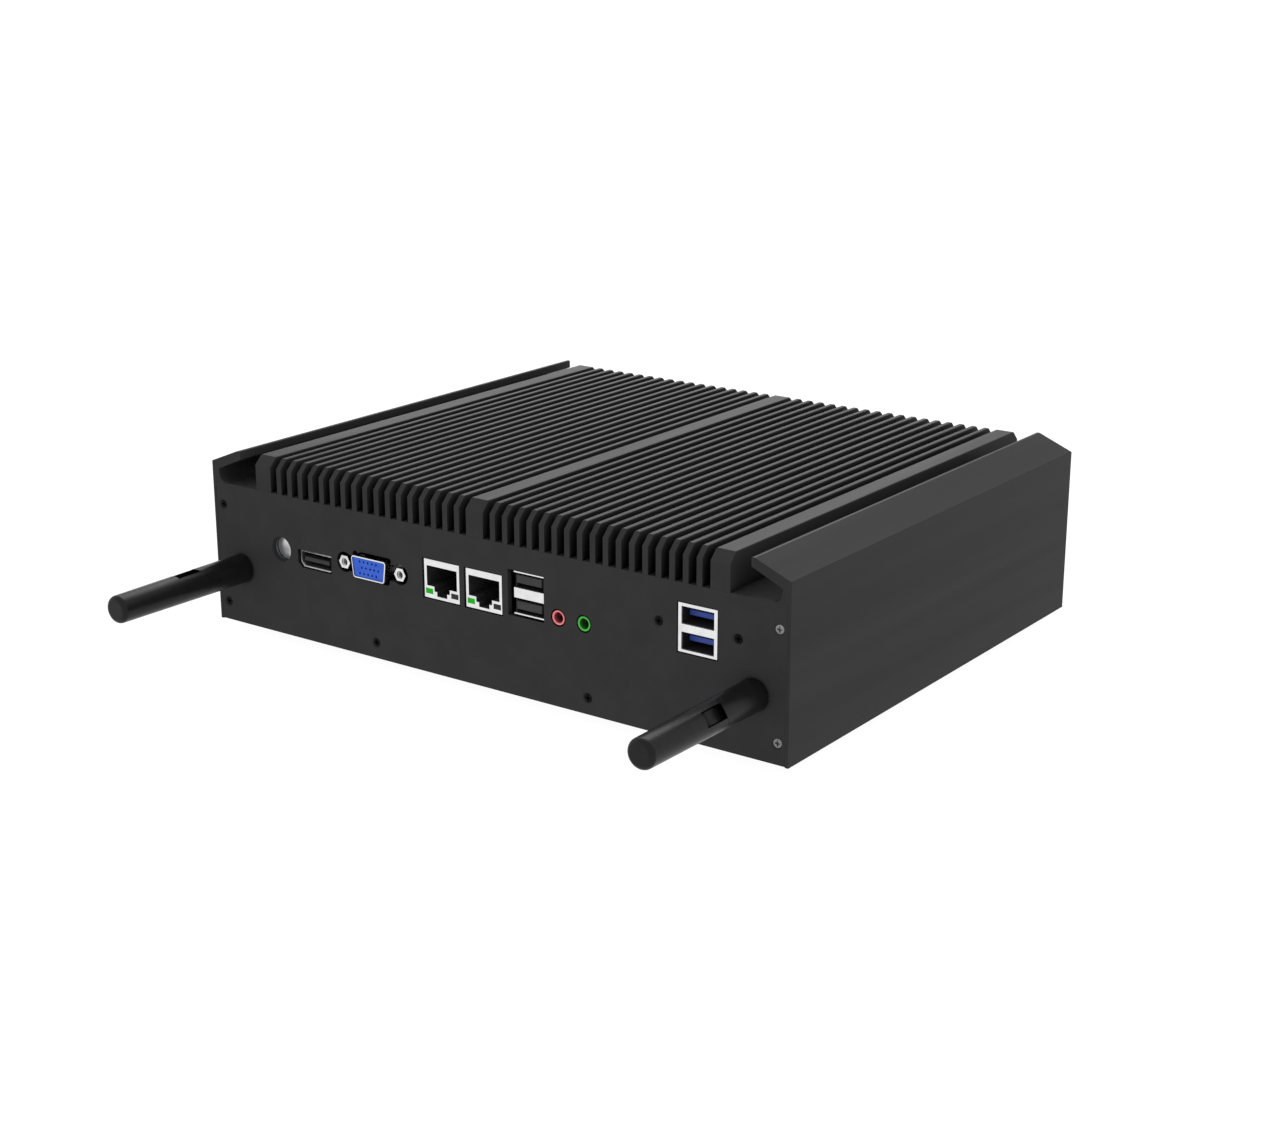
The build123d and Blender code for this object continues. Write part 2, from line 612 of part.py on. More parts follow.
INSERT_RECESS = 0.35
INSERT_BLOCK_DEPTH = 7.0
D_SUB_FACE = FRONT.offset(D_SUB_REACH - INSERT_RECESS)
with BuildPart() as d_sub_insert:
    with BuildSketch(D_SUB_FACE):
        with Locations((D_SUB_X, up(D_SUB_Z))):
            add(d_outline(INSERT_HALF_WIDTH, INSERT_HALF_HEIGHT, D_SUB_INNER_CORNER))
    extrude(amount=-(D_SUB_REACH + D_SUB_FLANGE_DEPTH + FLANGE_THICKNESS - INSERT_RECESS))
    with BuildSketch(D_SUB_FLANGE.offset(-FLANGE_THICKNESS)):
        with Locations((D_SUB_X, up(D_SUB_Z))):
            Rectangle(16.4, CONNECTOR_BLOCK_HEIGHT)
    extrude(amount=-INSERT_BLOCK_DEPTH)
    # A foot carries the block on the main board.
    with BuildSketch(Plane.XY.offset(up(BOARD_TOP))):
        with Locations((D_SUB_X, FRONT_Y + D_SUB_FLANGE_DEPTH + FLANGE_THICKNESS + INSERT_BLOCK_DEPTH / 2)):
            Rectangle(18.0, 6.0)
    extrude(amount=2.0)
    with BuildSketch(D_SUB_FACE):
        with Locations((D_SUB_X, up(D_SUB_Z))):
            for row, shift in ((-1, -0.5), (0, 0.5), (1, -0.5)):
                with Locations((shift, row * 2.05)):
                    with GridLocations(1.85, 1, 5, 1):
                        Circle(0.42)
    extrude(amount=-5.0, mode=Mode.SUBTRACT)

# One hexagon post with its outer face at z = 0 and a shank that screws through the flange.
POST_LENGTH = POST_REACH + D_SUB_FLANGE_DEPTH
POST_SHANK_RADIUS = 1.42
with BuildPart() as hexagon_post:
    with BuildSketch(Plane.XY):
        RegularPolygon(radius=POST_ACROSS_FLATS / 2, side_count=6, major_radius=False)
    extrude(amount=-POST_LENGTH)
    chamfer(hexagon_post.faces().sort_by(Axis.Z)[-1].edges(), length=0.12)
    with BuildSketch(Plane.XY.offset(-POST_LENGTH)):
        Circle(POST_SHANK_RADIUS)
    extrude(amount=-4.0)
    with Locations((0, 0, 0)):
        Hole(radius=POST_BORE_RADIUS, depth=4.0)
    chamfer(hexagon_post.edges().filter_by(GeomType.CIRCLE).sort_by(Axis.Z)[-1], length=0.12)

with BuildPart() as d_sub_posts:
    with Locations(FRONT.offset(POST_REACH)):
        with Locations((D_SUB_X, up(D_SUB_Z))):
            with Locations(*POST_SPOTS):
                add(hexagon_post.part)

# ---------------------------------------------------------------- network jacks
JACK_RECESS = 0.35
SHIELD = 0.4
WINDOW_WIDTH = 3.1
WINDOW_HEIGHT = 1.8


def stepped_opening(clearance):
    """Sketch of a network jack's opening: wide at the top, two steps narrower at the bottom."""
    with BuildSketch(mode=Mode.PRIVATE) as opening:
        for half_width, low, high in ((6.45, 4.15, 11.05), (3.3, 2.45, 4.5), (2.15, 0.9, 2.8)):
            with Locations((0, (low + high) / 2)):
                Rectangle(2 * (half_width + clearance), high - low + 2 * clearance)
    return opening.sketch


JACK_SPOTS = [(jack_x, up(JACK_BOTTOM)) for jack_x in JACK_X]
LAMP_OFFSET = JACK_WIDTH / 2 - 0.55 - WINDOW_WIDTH / 2
LAMP_Z = 2.3
JACK_HEIGHT = JACK_TOP - JACK_BOTTOM
with BuildPart() as network_jack_shields:
    with BuildSketch(FRONT.offset(-JACK_RECESS)):
        with Locations(*JACK_SPOTS):
            with Locations((0, JACK_HEIGHT / 2)):
                Rectangle(JACK_WIDTH, JACK_HEIGHT)
    extrude(amount=-JACK_DEPTH)
    with BuildSketch(FRONT.offset(-JACK_RECESS - SHIELD)):
        with Locations(*JACK_SPOTS):
            with Locations((0, JACK_HEIGHT / 2)):
                Rectangle(JACK_WIDTH - 2 * SHIELD, JACK_HEIGHT - 2 * SHIELD)
    extrude(amount=-JACK_DEPTH, mode=Mode.SUBTRACT)
    with BuildSketch(FRONT.offset(-JACK_RECESS)):
        with Locations(*JACK_SPOTS):
            add(stepped_opening(0))
            with Locations((-LAMP_OFFSET, LAMP_Z), (LAMP_OFFSET, LAMP_Z)):
                Rectangle(WINDOW_WIDTH, WINDOW_HEIGHT)
    extrude(amount=-SHIELD, mode=Mode.SUBTRACT)

with BuildPart() as network_jack_inserts:
    with BuildSketch(FRONT.offset(-JACK_RECESS - SHIELD)):
        with Locations(*JACK_SPOTS):
            with Locations((0, JACK_HEIGHT / 2)):
                Rectangle(JACK_WIDTH - 2 * SHIELD - 0.1, JACK_HEIGHT - 2 * SHIELD - 0.1)
    extrude(amount=-(JACK_DEPTH - SHIELD))
    with BuildSketch(FRONT.offset(-JACK_RECESS - SHIELD)):
        with Locations(*JACK_SPOTS):
            add(stepped_opening(0.05))
    extrude(amount=-14.5, mode=Mode.SUBTRACT)
    with BuildSketch(FRONT.offset(-JACK_RECESS - SHIELD)):
        with Locations(*JACK_SPOTS):
            with Locations((-LAMP_OFFSET, LAMP_Z), (LAMP_OFFSET, LAMP_Z)):
                Rectangle(WINDOW_WIDTH + 0.1, WINDOW_HEIGHT + 0.1)
    extrude(amount=-4.1, mode=Mode.SUBTRACT)

with BuildPart() as network_jack_contacts:
    with BuildSketch(FRONT.offset(-JACK_RECESS - 3.0)):
        with Locations(*JACK_SPOTS):
            with Locations((0, 10.4)):
                with GridLocations(1.02, 1, 8, 1):
                    Rectangle(0.4, 0.4)
    extrude(amount=-(14.5 + SHIELD - 3.0))

with BuildPart() as network_lamps_lit:
    with BuildSketch(FRONT.offset(-JACK_RECESS - 0.1)):
        with Locations(*JACK_SPOTS):
            with Locations((-LAMP_OFFSET, LAMP_Z)):
                Rectangle(WINDOW_WIDTH - 0.1, WINDOW_HEIGHT - 0.1)
    extrude(amount=-4.2)

with BuildPart() as network_lamps_dark:
    with BuildSketch(FRONT.offset(-JACK_RECESS - 0.1)):
        with Locations(*JACK_SPOTS):
            with Locations((LAMP_OFFSET, LAMP_Z)):
                Rectangle(WINDOW_WIDTH - 0.1, WINDOW_HEIGHT - 0.1)
    extrude(amount=-4.2)

# ---------------------------------------------------------------- double USB socket
USB2_RECESS = 0.4
USB2_WALL = 0.5
USB2_SLOT = 5.05
USB2_LIP = 1.0
USB2_TONGUE_HEIGHT = 2.8
USB2_TONGUE_OFFSETS = (0.1, 0.43)
USB2_HEIGHT = USB2_TOP - USB2_BOTTOM
USB2_MIDDLE = up((USB2_BOTTOM + USB2_TOP) / 2)
USB2_SLOT_OFFSET = USB2_HEIGHT / 2 - USB2_WALL - USB2_SLOT / 2
USB2_SLOT_SPOTS = [(USB2_X, USB2_MIDDLE + side * USB2_SLOT_OFFSET) for side in (-1, 1)]
with BuildPart() as usb2_shell:
    with BuildSketch(FRONT.offset(-USB2_RECESS)):
        with Locations((USB2_X, USB2_MIDDLE)):
            Rectangle(USB2_WIDTH, USB2_HEIGHT)
    extrude(amount=-17.0)
    with BuildSketch(FRONT.offset(-USB2_RECESS - 3.0)):
        with Locations((USB2_X, up((BOARD_TOP + USB2_BOTTOM) / 2))):
            Rectangle(USB2_WIDTH, USB2_BOTTOM - BOARD_TOP)
    extrude(amount=-14.0)
    with BuildSketch(FRONT.offset(-USB2_RECESS)):
        with Locations(*USB2_SLOT_SPOTS):
            Rectangle(USB2_WIDTH - 2 * USB2_WALL, USB2_SLOT)
    extrude(amount=-13.0, mode=Mode.SUBTRACT)
    # The side walls stand back from the lips and from the band between the slots.
    with BuildSketch(FRONT.offset(-USB2_RECESS)):
        with Locations(*USB2_SLOT_SPOTS):
            Rectangle(USB2_WIDTH + 1.0, USB2_SLOT)
    extrude(amount=-USB2_LIP, mode=Mode.SUBTRACT)

with BuildPart() as usb2_tongues:
    with BuildSketch(FRONT.offset(-USB2_RECESS - 0.2)):
        for (slot_x, slot_z), offset in zip(USB2_SLOT_SPOTS, USB2_TONGUE_OFFSETS):
            with Locations((slot_x, slot_z + offset)):
                Rectangle(10.2, USB2_TONGUE_HEIGHT)
    extrude(amount=-(13.0 - 0.2))
    chamfer(usb2_tongues.edges().group_by(Axis.Y)[0], length=0.2)

# ---------------------------------------------------------------- audio jacks
AUDIO_PLANE = FRONT


def audio_jack_shape():
    """Private solid of one audio jack, its collar's axis on the origin and its face at z = 0."""
    with BuildPart(mode=Mode.PRIVATE) as jack:
        with BuildSketch(Plane.XY):
            Circle(AUDIO_COLLAR_RADIUS)
        extrude(amount=-2.2)
        fillet(jack.faces().sort_by(Axis.Z)[-1].edges(), radius=0.2)
        with BuildSketch(Plane.XY.offset(-2.2)):
            with Locations((0, 1.0)):
                Rectangle(8.6, 2 * (AUDIO_Z - BOARD_TOP + 1.0))
        extrude(amount=-11.5)
        with Locations((0, 0, 0)):
            Hole(radius=AUDIO_BORE, depth=12.0)
        front_circles = jack.edges().filter_by(GeomType.CIRCLE).group_by(Axis.Z)[-1]
        chamfer(front_circles.sort_by(SortBy.RADIUS)[0], length=0.2)
    return jack.part


audio_shape = audio_jack_shape()
with BuildPart() as audio_jack_pink:
    with Locations(AUDIO_PLANE):
        with Locations((AUDIO_X[0], up(AUDIO_Z))):
            add(audio_shape)

with BuildPart() as audio_jack_green:
    with Locations(AUDIO_PLANE):
        with Locations((AUDIO_X[1], up(AUDIO_Z))):
            add(audio_shape)

# ---------------------------------------------------------------- double blue USB socket
USB3_RECESS = 0.2
USB3_SLOT_WIDTH = 11.9
USB3_SLOT = 5.6
USB3_MIDDLE = up((USB3_BOTTOM + USB3_TOP) / 2)
USB3_SLOT_SPOTS = [(USB3_X, up(slot_middle)) for slot_middle in (32.3, 40.5)]
USB3_TONGUE_RECESS = 3.6
with BuildPart() as usb3_shell:
    with BuildSketch(FRONT.offset(-USB3_RECESS)):
        with Locations((USB3_X, USB3_MIDDLE)):
            Rectangle(USB3_WIDTH, USB3_TOP - USB3_BOTTOM)
    extrude(amount=-17.5)
    with BuildSketch(FRONT.offset(-USB3_RECESS)):
        with Locations(*USB3_SLOT_SPOTS):
            Rectangle(USB3_SLOT_WIDTH, USB3_SLOT)
    extrude(amount=-13.5, mode=Mode.SUBTRACT)

with BuildPart() as usb3_tongues:
    with BuildSketch(FRONT.offset(-USB3_RECESS - USB3_TONGUE_RECESS)):
        with Locations(*USB3_SLOT_SPOTS):
            Rectangle(USB3_SLOT_WIDTH - 0.8, 1.9)
    extrude(amount=-(13.5 - USB3_TONGUE_RECESS))
    chamfer(usb3_tongues.edges().group_by(Axis.Y)[0], length=0.2)

BRACKET_THICKNESS = 1.2
BRACKET_MIDDLE = USB3_SCREW_Z - 0.6
with BuildPart() as usb3_bracket:
    with BuildSketch(PANEL_BACK):
        with Locations((USB3_X, up(BRACKET_MIDDLE - 1.0))):
            RectangleRounded(38.0, 20.0, 2.0)
        with Locations((USB3_X, USB3_MIDDLE)):
            Rectangle(USB3_WIDTH + 0.6, USB3_TOP - USB3_BOTTOM + 0.6, mode=Mode.SUBTRACT)
    extrude(amount=-BRACKET_THICKNESS)
    with BuildSketch(PANEL_BACK.offset(-BRACKET_THICKNESS)):
        with Locations(*USB3_SPOTS):
            Circle(2.6)
    extrude(amount=-2.4)
    with Locations(PANEL_BACK):
        with Locations(*USB3_SPOTS):
            Hole(radius=THREAD_RADIUS, depth=6)
    # A shelf below the daughter board, folded back from the bracket's lower edge.
    with BuildSketch(PANEL_BACK):
        with Locations((USB3_X, up(BRACKET_MIDDLE - 11.0 + BRACKET_THICKNESS / 2))):
            Rectangle(26.0, BRACKET_THICKNESS)
    extrude(amount=-34.0)

with BuildPart() as usb3_board:
    with BuildSketch(Plane.XY.offset(up(USB3_BOTTOM - BOARD_THICKNESS))):
        with Locations((USB3_X, FRONT_Y + 22.5)):
            Rectangle(25.0, 33.0)
    extrude(amount=BOARD_THICKNESS)
    # A cable header behind the socket.
    with BuildSketch(Plane.XY.offset(up(USB3_BOTTOM))):
        with Locations((USB3_X, FRONT_Y + 30.0)):
            Rectangle(20.0, 6.0)
            Rectangle(17.6, 3.6, mode=Mode.SUBTRACT)
    extrude(amount=8.0)

# ---------------------------------------------------------------- main board and what it carries
BOARD_MIDDLE_X = (BOARD_LEFT + BOARD_RIGHT) / 2
BOARD_MIDDLE_Y = (BOARD_FRONT + BOARD_REAR) / 2
BOARD_HOLE_SPOTS = [
    (BOARD_MIDDLE_X + side * ((BOARD_RIGHT - BOARD_LEFT) / 2 - 5.0), y)
    for side in (-1, 1)
    for y in (BOARD_FRONT + 28.0, BOARD_REAR - 5.0)
]
with BuildPart() as main_board:
    with BuildSketch(Plane.XY.offset(up(BOARD_TOP - BOARD_THICKNESS))):
        with Locations((BOARD_MIDDLE_X, BOARD_MIDDLE_Y)):
            Rectangle(BOARD_RIGHT - BOARD_LEFT, BOARD_REAR - BOARD_FRONT)
        with Locations(*BOARD_HOLE_SPOTS):
            Circle(1.7, mode=Mode.SUBTRACT)
    extrude(amount=BOARD_THICKNESS)
    # Chokes, capacitors and cable headers that are soldered down.
    with BuildSketch(Plane.XY.offset(up(BOARD_TOP))):
        with Locations((-67.4, -42)):
            with GridLocations(9.0, 9.0, 1, 3):
                Rectangle(7.0, 7.0)
    extrude(amount=4.0)
    with BuildSketch(Plane.XY.offset(up(BOARD_TOP))):
        with Locations((-75.5, -42)):
            with GridLocations(8.5, 9.0, 1, 3):
                Circle(3.1)
    extrude(amount=8.5)
    with BuildSketch(Plane.XY.offset(up(BOARD_TOP))):
        with Locations((-55, 5)):
            Rectangle(22.0, 5.0)
        with Locations((-31, 5)):
            Rectangle(16.0, 5.0)
    extrude(amount=8.5)

PROCESSOR_SPOT = (-38, -42)
with BuildPart() as processor:
    with BuildSketch(Plane.XY.offset(up(BOARD_TOP))):
        with Locations(PROCESSOR_SPOT):
            Rectangle(25.0, 24.0)
    extrude(amount=1.2)
    with BuildSketch(Plane.XY.offset(up(BOARD_TOP + 1.2))):
        with Locations(PROCESSOR_SPOT):
            Rectangle(12.0, 10.0)
    extrude(amount=0.8)

with BuildPart() as heat_block:
    with BuildSketch(Plane.XY.offset(up(BOARD_TOP + 2.0))):
        with Locations(PROCESSOR_SPOT):
            Rectangle(30.0, 30.0)
    extrude(amount=4.0)
    with BuildSketch(Plane.XY.offset(up(BOARD_TOP + 6.0))):
        with Locations(PROCESSOR_SPOT):
            RectangleRounded(50.0, 50.0, 3.0)
    extrude(amount=PLATE_UNDERSIDE - BOARD_TOP - 6.0)

MEMORY_X = 18.5
MEMORY_Y = -17.0
with BuildPart() as memory_socket:
    with BuildSketch(Plane.XY.offset(up(BOARD_TOP))):
        with Locations((MEMORY_X, MEMORY_Y)):
            Rectangle(74.0, 6.0)
        with Locations((MEMORY_X - 35.5, MEMORY_Y - 13.0), (MEMORY_X + 35.5, MEMORY_Y - 13.0)):
            Rectangle(3.0, 22.0)
    extrude(amount=4.6)
    with BuildSketch(Plane.XY.offset(up(BOARD_TOP + 1.8))):
        with Locations((MEMORY_X, MEMORY_Y - 15.5)):
            Rectangle(67.8, 28.0)
    extrude(amount=1.3, mode=Mode.SUBTRACT)

with BuildPart() as memory_module:
    with BuildSketch(Plane.XY.offset(up(BOARD_TOP + 1.9))):
        with Locations((MEMORY_X, MEMORY_Y - 16.0)):
            Rectangle(67.6, 28.0)
    extrude(amount=1.0)
    with BuildSketch(Plane.XY.offset(up(BOARD_TOP + 2.9))):
        with Locations((MEMORY_X, MEMORY_Y - 19.0)):
            with GridLocations(15.5, 1, 4, 1):
                Rectangle(12.0, 13.0)
    extrude(amount=0.9)

with BuildPart() as wireless_card:
    with BuildSketch(Plane.XY.offset(up(BOARD_TOP + 2.2))):
        with Locations((32, 0)):
            Rectangle(30.0, 22.0)
    extrude(amount=0.8)
    with BuildSketch(Plane.XY.offset(up(BOARD_TOP + 3.0))):
        with Locations((34, 0)):
            Rectangle(16.0, 16.0)
        with Locations((20, 6), (20, -6)):
            Circle(1.0)
    extrude(amount=1.5)
    with BuildSketch(Plane.XY.offset(up(BOARD_TOP))):
        with Locations((46, 0)):
            Rectangle(4.0, 22.0)
        with Locations((18.5, 0)):
            Circle(2.0)
    extrude(amount=2.2)

with BuildPart() as coin_cell_holder:
    with BuildSketch(Plane.XY.offset(up(BOARD_TOP))):
        with Locations((-8, 0)):
            Circle(11.8)
    extrude(amount=4.4)
    with BuildSketch(Plane.XY.offset(up(BOARD_TOP + 1.0))):
        with Locations((-8, 0)):
            Circle(10.15)
    extrude(amount=4.4, mode=Mode.SUBTRACT)

with BuildPart() as coin_cell:
    with BuildSketch(Plane.XY.offset(up(BOARD_TOP + 1.05))):
        with Locations((-8, 0)):
            Circle(10.0)
    extrude(amount=3.2)
    chamfer(coin_cell.faces().sort_by(Axis.Z)[-1].edges(), length=0.5)

with BuildPart() as board_standoffs:
    with BuildSketch(Plane.XY.offset(COVER_TOP)):
        with Locations(*BOARD_HOLE_SPOTS):
            RegularPolygon(radius=2.75, side_count=6, major_radius=False)
            Circle(1.25, mode=Mode.SUBTRACT)
    extrude(amount=up(BOARD_TOP - BOARD_THICKNESS) - COVER_TOP)

with BuildPart() as board_screws:
    with Locations(*[(x, y, up(BOARD_TOP)) for x, y in BOARD_HOLE_SPOTS]):
        add(pan_screw.part)

# ---------------------------------------------------------------- storage drive under the top
DRIVE_X = 0.0
DRIVE_Y = 44.0
DRIVE_LENGTH = 100.4
DRIVE_WIDTH = 69.8
DRIVE_THICKNESS = 7.0
DRIVE_LIFT = 5.0
BRACKET_SHEET = 1.2
BRACKET_FOOT = 10.0
BRACKET_START = DRIVE_WIDTH / 2 + 0.1
with BuildPart() as storage_drive:
    with BuildSketch(Plane.XY.offset(COVER_TOP + DRIVE_LIFT)):
        with Locations((DRIVE_X, DRIVE_Y)):
            RectangleRounded(DRIVE_LENGTH, DRIVE_WIDTH, 1.5)
    extrude(amount=DRIVE_THICKNESS)
    chamfer(storage_drive.faces().sort_by(Axis.Z)[-1].edges(), length=0.4)

with BuildPart() as drive_bracket:
    for side in (-1, 1):
        with BuildSketch(Plane.XY.offset(COVER_TOP)):
            with Locations((DRIVE_X, DRIVE_Y + side * (BRACKET_START + BRACKET_FOOT / 2))):
                Rectangle(96.0, BRACKET_FOOT)
        extrude(amount=BRACKET_SHEET)
        with BuildSketch(Plane.XY.offset(COVER_TOP)):
            with Locations((DRIVE_X, DRIVE_Y + side * (BRACKET_START + BRACKET_SHEET / 2))):
                Rectangle(96.0, BRACKET_SHEET)
        extrude(amount=11.0)

# ---------------------------------------------------------------- power inlet
POWER_RIM_RADIUS = 5.6
POWER_BARREL_RADIUS = 3.95
POWER_BORE_RADIUS = 2.9
POWER_PIN_RADIUS = 1.05
POWER_RIM = 1.6
POWER_BORE_DEPTH = 12.0
POWER_PLANE = Plane(origin=(POWER_X, REAR_Y, up(POWER_Z)), x_dir=(-1, 0, 0), z_dir=(0, 1, 0))
with BuildPart() as power_inlet:
    with BuildSketch(POWER_PLANE):
        Circle(POWER_RIM_RADIUS)
    extrude(amount=POWER_RIM)
    fillet(power_inlet.faces().sort_by(Axis.Y)[-1].edges(), radius=0.5)
    with BuildSketch(POWER_PLANE):
        Circle(POWER_BARREL_RADIUS)
    extrude(amount=-14.0)
    with BuildSketch(POWER_PLANE.offset(POWER_RIM)):
        Circle(POWER_BORE_RADIUS)
    extrude(amount=-POWER_BORE_DEPTH, mode=Mode.SUBTRACT)
    with BuildSketch(POWER_PLANE.offset(POWER_RIM - POWER_BORE_DEPTH)):
        Circle(POWER_PIN_RADIUS)
    extrude(amount=9.5)
    with BuildSketch(POWER_PLANE.offset(-14.0)):
        with Locations((-1.6, 0), (1.6, 0)):
            Rectangle(0.6, 2.4)
    extrude(amount=-4.0)

with BuildPart() as power_inlet_nut:
    with BuildSketch(POWER_PLANE.offset(-PANEL_THICKNESS)):
        RegularPolygon(radius=5.5, side_count=6, major_radius=False)
        Circle(4.0, mode=Mode.SUBTRACT)
    extrude(amount=-2.2)

# ---------------------------------------------------------------- rear serial sockets
SERIAL_SPOTS = [(-serial_x, up(SERIAL_Z)) for serial_x in SERIAL_X]
SERIAL_FLANGE = REAR.offset(-D_SUB_FLANGE_DEPTH)
SERIAL_BLOCK_DEPTH = 7.0
with BuildPart() as serial_port_shells:
    with BuildSketch(SERIAL_FLANGE):
        with Locations(*SERIAL_SPOTS):
            RectangleRounded(FLANGE_WIDTH, FLANGE_HEIGHT, FLANGE_CORNER)
            with Locations(*POST_SPOTS):
                Circle(FLANGE_HOLE_RADIUS, mode=Mode.SUBTRACT)
    extrude(amount=-FLANGE_THICKNESS)
    with BuildSketch(SERIAL_FLANGE.offset(-FLANGE_THICKNESS)):
        with Locations(*SERIAL_SPOTS):
            add(d_outline(D_SUB_HALF_WIDTH, D_SUB_HALF_HEIGHT, D_SUB_CORNER))
    extrude(amount=FLANGE_THICKNESS + D_SUB_FLANGE_DEPTH + D_SUB_REACH)
    fillet(serial_port_shells.edges().group_by(Axis.Y)[-1], radius=0.12)
    with BuildSketch(SERIAL_FLANGE.offset(-FLANGE_THICKNESS)):
        with Locations(*SERIAL_SPOTS):
            add(d_outline(D_SUB_HALF_WIDTH - D_SUB_WALL, D_SUB_HALF_HEIGHT - D_SUB_WALL, D_SUB_INNER_CORNER))
    extrude(amount=FLANGE_THICKNESS + D_SUB_FLANGE_DEPTH + D_SUB_REACH + 1, mode=Mode.SUBTRACT)

SERIAL_FLOOR_DEPTH = 0.6
with BuildPart() as serial_port_inserts:
    with BuildSketch(SERIAL_FLANGE.offset(-FLANGE_THICKNESS)):
        with Locations(*SERIAL_SPOTS):
            add(d_outline(INSERT_HALF_WIDTH, INSERT_HALF_HEIGHT, D_SUB_INNER_CORNER))
    extrude(amount=FLANGE_THICKNESS + SERIAL_FLOOR_DEPTH)
    with BuildSketch(SERIAL_FLANGE.offset(-FLANGE_THICKNESS)):
        with Locations(*SERIAL_SPOTS):
            Rectangle(19.0, CONNECTOR_BLOCK_HEIGHT)
    extrude(amount=-SERIAL_BLOCK_DEPTH)

with BuildPart() as serial_port_pins:
    with BuildSketch(SERIAL_FLANGE.offset(SERIAL_FLOOR_DEPTH)):
        with Locations(*SERIAL_SPOTS):
            with Locations((0, 1.42)):
                with GridLocations(2.77, 1, 5, 1):
                    Circle(0.5)
            with Locations((0, -1.42)):
                with GridLocations(2.77, 1, 4, 1):
                    Circle(0.5)
    extrude(amount=4.6)
    fillet(serial_port_pins.faces().group_by(Axis.Y)[-1].edges(), radius=0.3)

with BuildPart() as serial_port_posts:
    with Locations(REAR.offset(POST_REACH)):
        for spot in SERIAL_SPOTS:
            with Locations(spot):
                with Locations(*POST_SPOTS):
                    add(hexagon_post.part)

# ---------------------------------------------------------------- antennas
ANTENNA_SPOTS = {"left": -ANTENNA_X, "right": ANTENNA_X}
RING_NUT_RADIUS = 4.1
RING_NUT = 1.5
with BuildPart() as antenna_sockets:
    for socket_x in ANTENNA_SPOTS.values():
        with BuildSketch(PANEL_BACK):
            with Locations((socket_x, up(ANTENNA_Z))):
                RegularPolygon(radius=4.0, side_count=6, major_radius=False)
        extrude(amount=-3.0)
        with BuildSketch(PANEL_BACK.offset(-3.0)):
            with Locations((socket_x, up(ANTENNA_Z))):
                Circle(1.6)
        extrude(amount=-4.0)
        with BuildSketch(PANEL_BACK):
            with Locations((socket_x, up(ANTENNA_Z))):
                Circle(BARREL_RADIUS)
        extrude(amount=PANEL_THICKNESS + 8.0)

with BuildPart() as antenna_ring_nuts:
    for socket_x in ANTENNA_SPOTS.values():
        with BuildSketch(FRONT):
            with Locations((socket_x, up(ANTENNA_Z))):
                Circle(RING_NUT_RADIUS)
                Circle(BARREL_RADIUS, mode=Mode.SUBTRACT)
        extrude(amount=RING_NUT)

BASE_START = 0.3
ROD_START = HINGE_REACH - 12.0
TIP_START = ANTENNA_LENGTH - TIP_ROUNDING


def antenna_plane(side):
    """Plane at an antenna's root: z along the antenna, x towards its notch, y along its hinge pin."""
    turn = radians(NOTCH_DIRECTION[side])
    root = (ANTENNA_SPOTS[side], FRONT_Y, up(ANTENNA_Z))
    return Plane(origin=root, x_dir=(cos(turn), 0, sin(turn)), z_dir=(0, -1, 0))


def antenna_taper(reach):
    """Radius of an antenna this far from the port panel."""
    return ANTENNA_RADIUS + (ANTENNA_TIP_RADIUS - ANTENNA_RADIUS) * reach / TIP_START


# The base in the antenna's own plane: a sleeve over the socket, and a tongue up to the hinge pin.
with BuildPart() as antenna_base:
    with BuildSketch(Plane.XZ):
        with BuildLine():
            Polyline(
                (0, BASE_START),
                (antenna_taper(0), BASE_START),
                (antenna_taper(0) - 0.05, BASE_START + 0.2),
                (antenna_taper(HINGE_REACH), HINGE_REACH),
                (0, HINGE_REACH),
                (0, BASE_START),
            )
        make_face()
    revolve(axis=Axis.Z)
    with BuildSketch(Plane.XZ.offset(-10)):
        with Locations((0, HINGE_REACH)):
            Circle(KNUCKLE_RADIUS + KNUCKLE_GAP)
    extrude(amount=20, mode=Mode.SUBTRACT)
    with BuildSketch(Plane.XZ.offset(-TONGUE_WIDTH / 2)):
        with Locations((0, HINGE_REACH)):
            Circle(TONGUE_RADIUS)
        with Locations((0, HINGE_REACH - 4.5)):
            Rectangle(2 * TONGUE_RADIUS, 9.0)
        with Locations((0, HINGE_REACH)):
            Circle(PIN_RADIUS + RUNNING_CLEARANCE, mode=Mode.SUBTRACT)
    extrude(amount=TONGUE_WIDTH)
    with BuildSketch(Plane.XY):
        Circle(BARREL_RADIUS + RUNNING_CLEARANCE)
    extrude(amount=9.0, mode=Mode.SUBTRACT)
    with BuildSketch(Plane.XY):
        Circle(RING_NUT_RADIUS + 0.2)
    extrude(amount=RING_NUT + 0.4, mode=Mode.SUBTRACT)

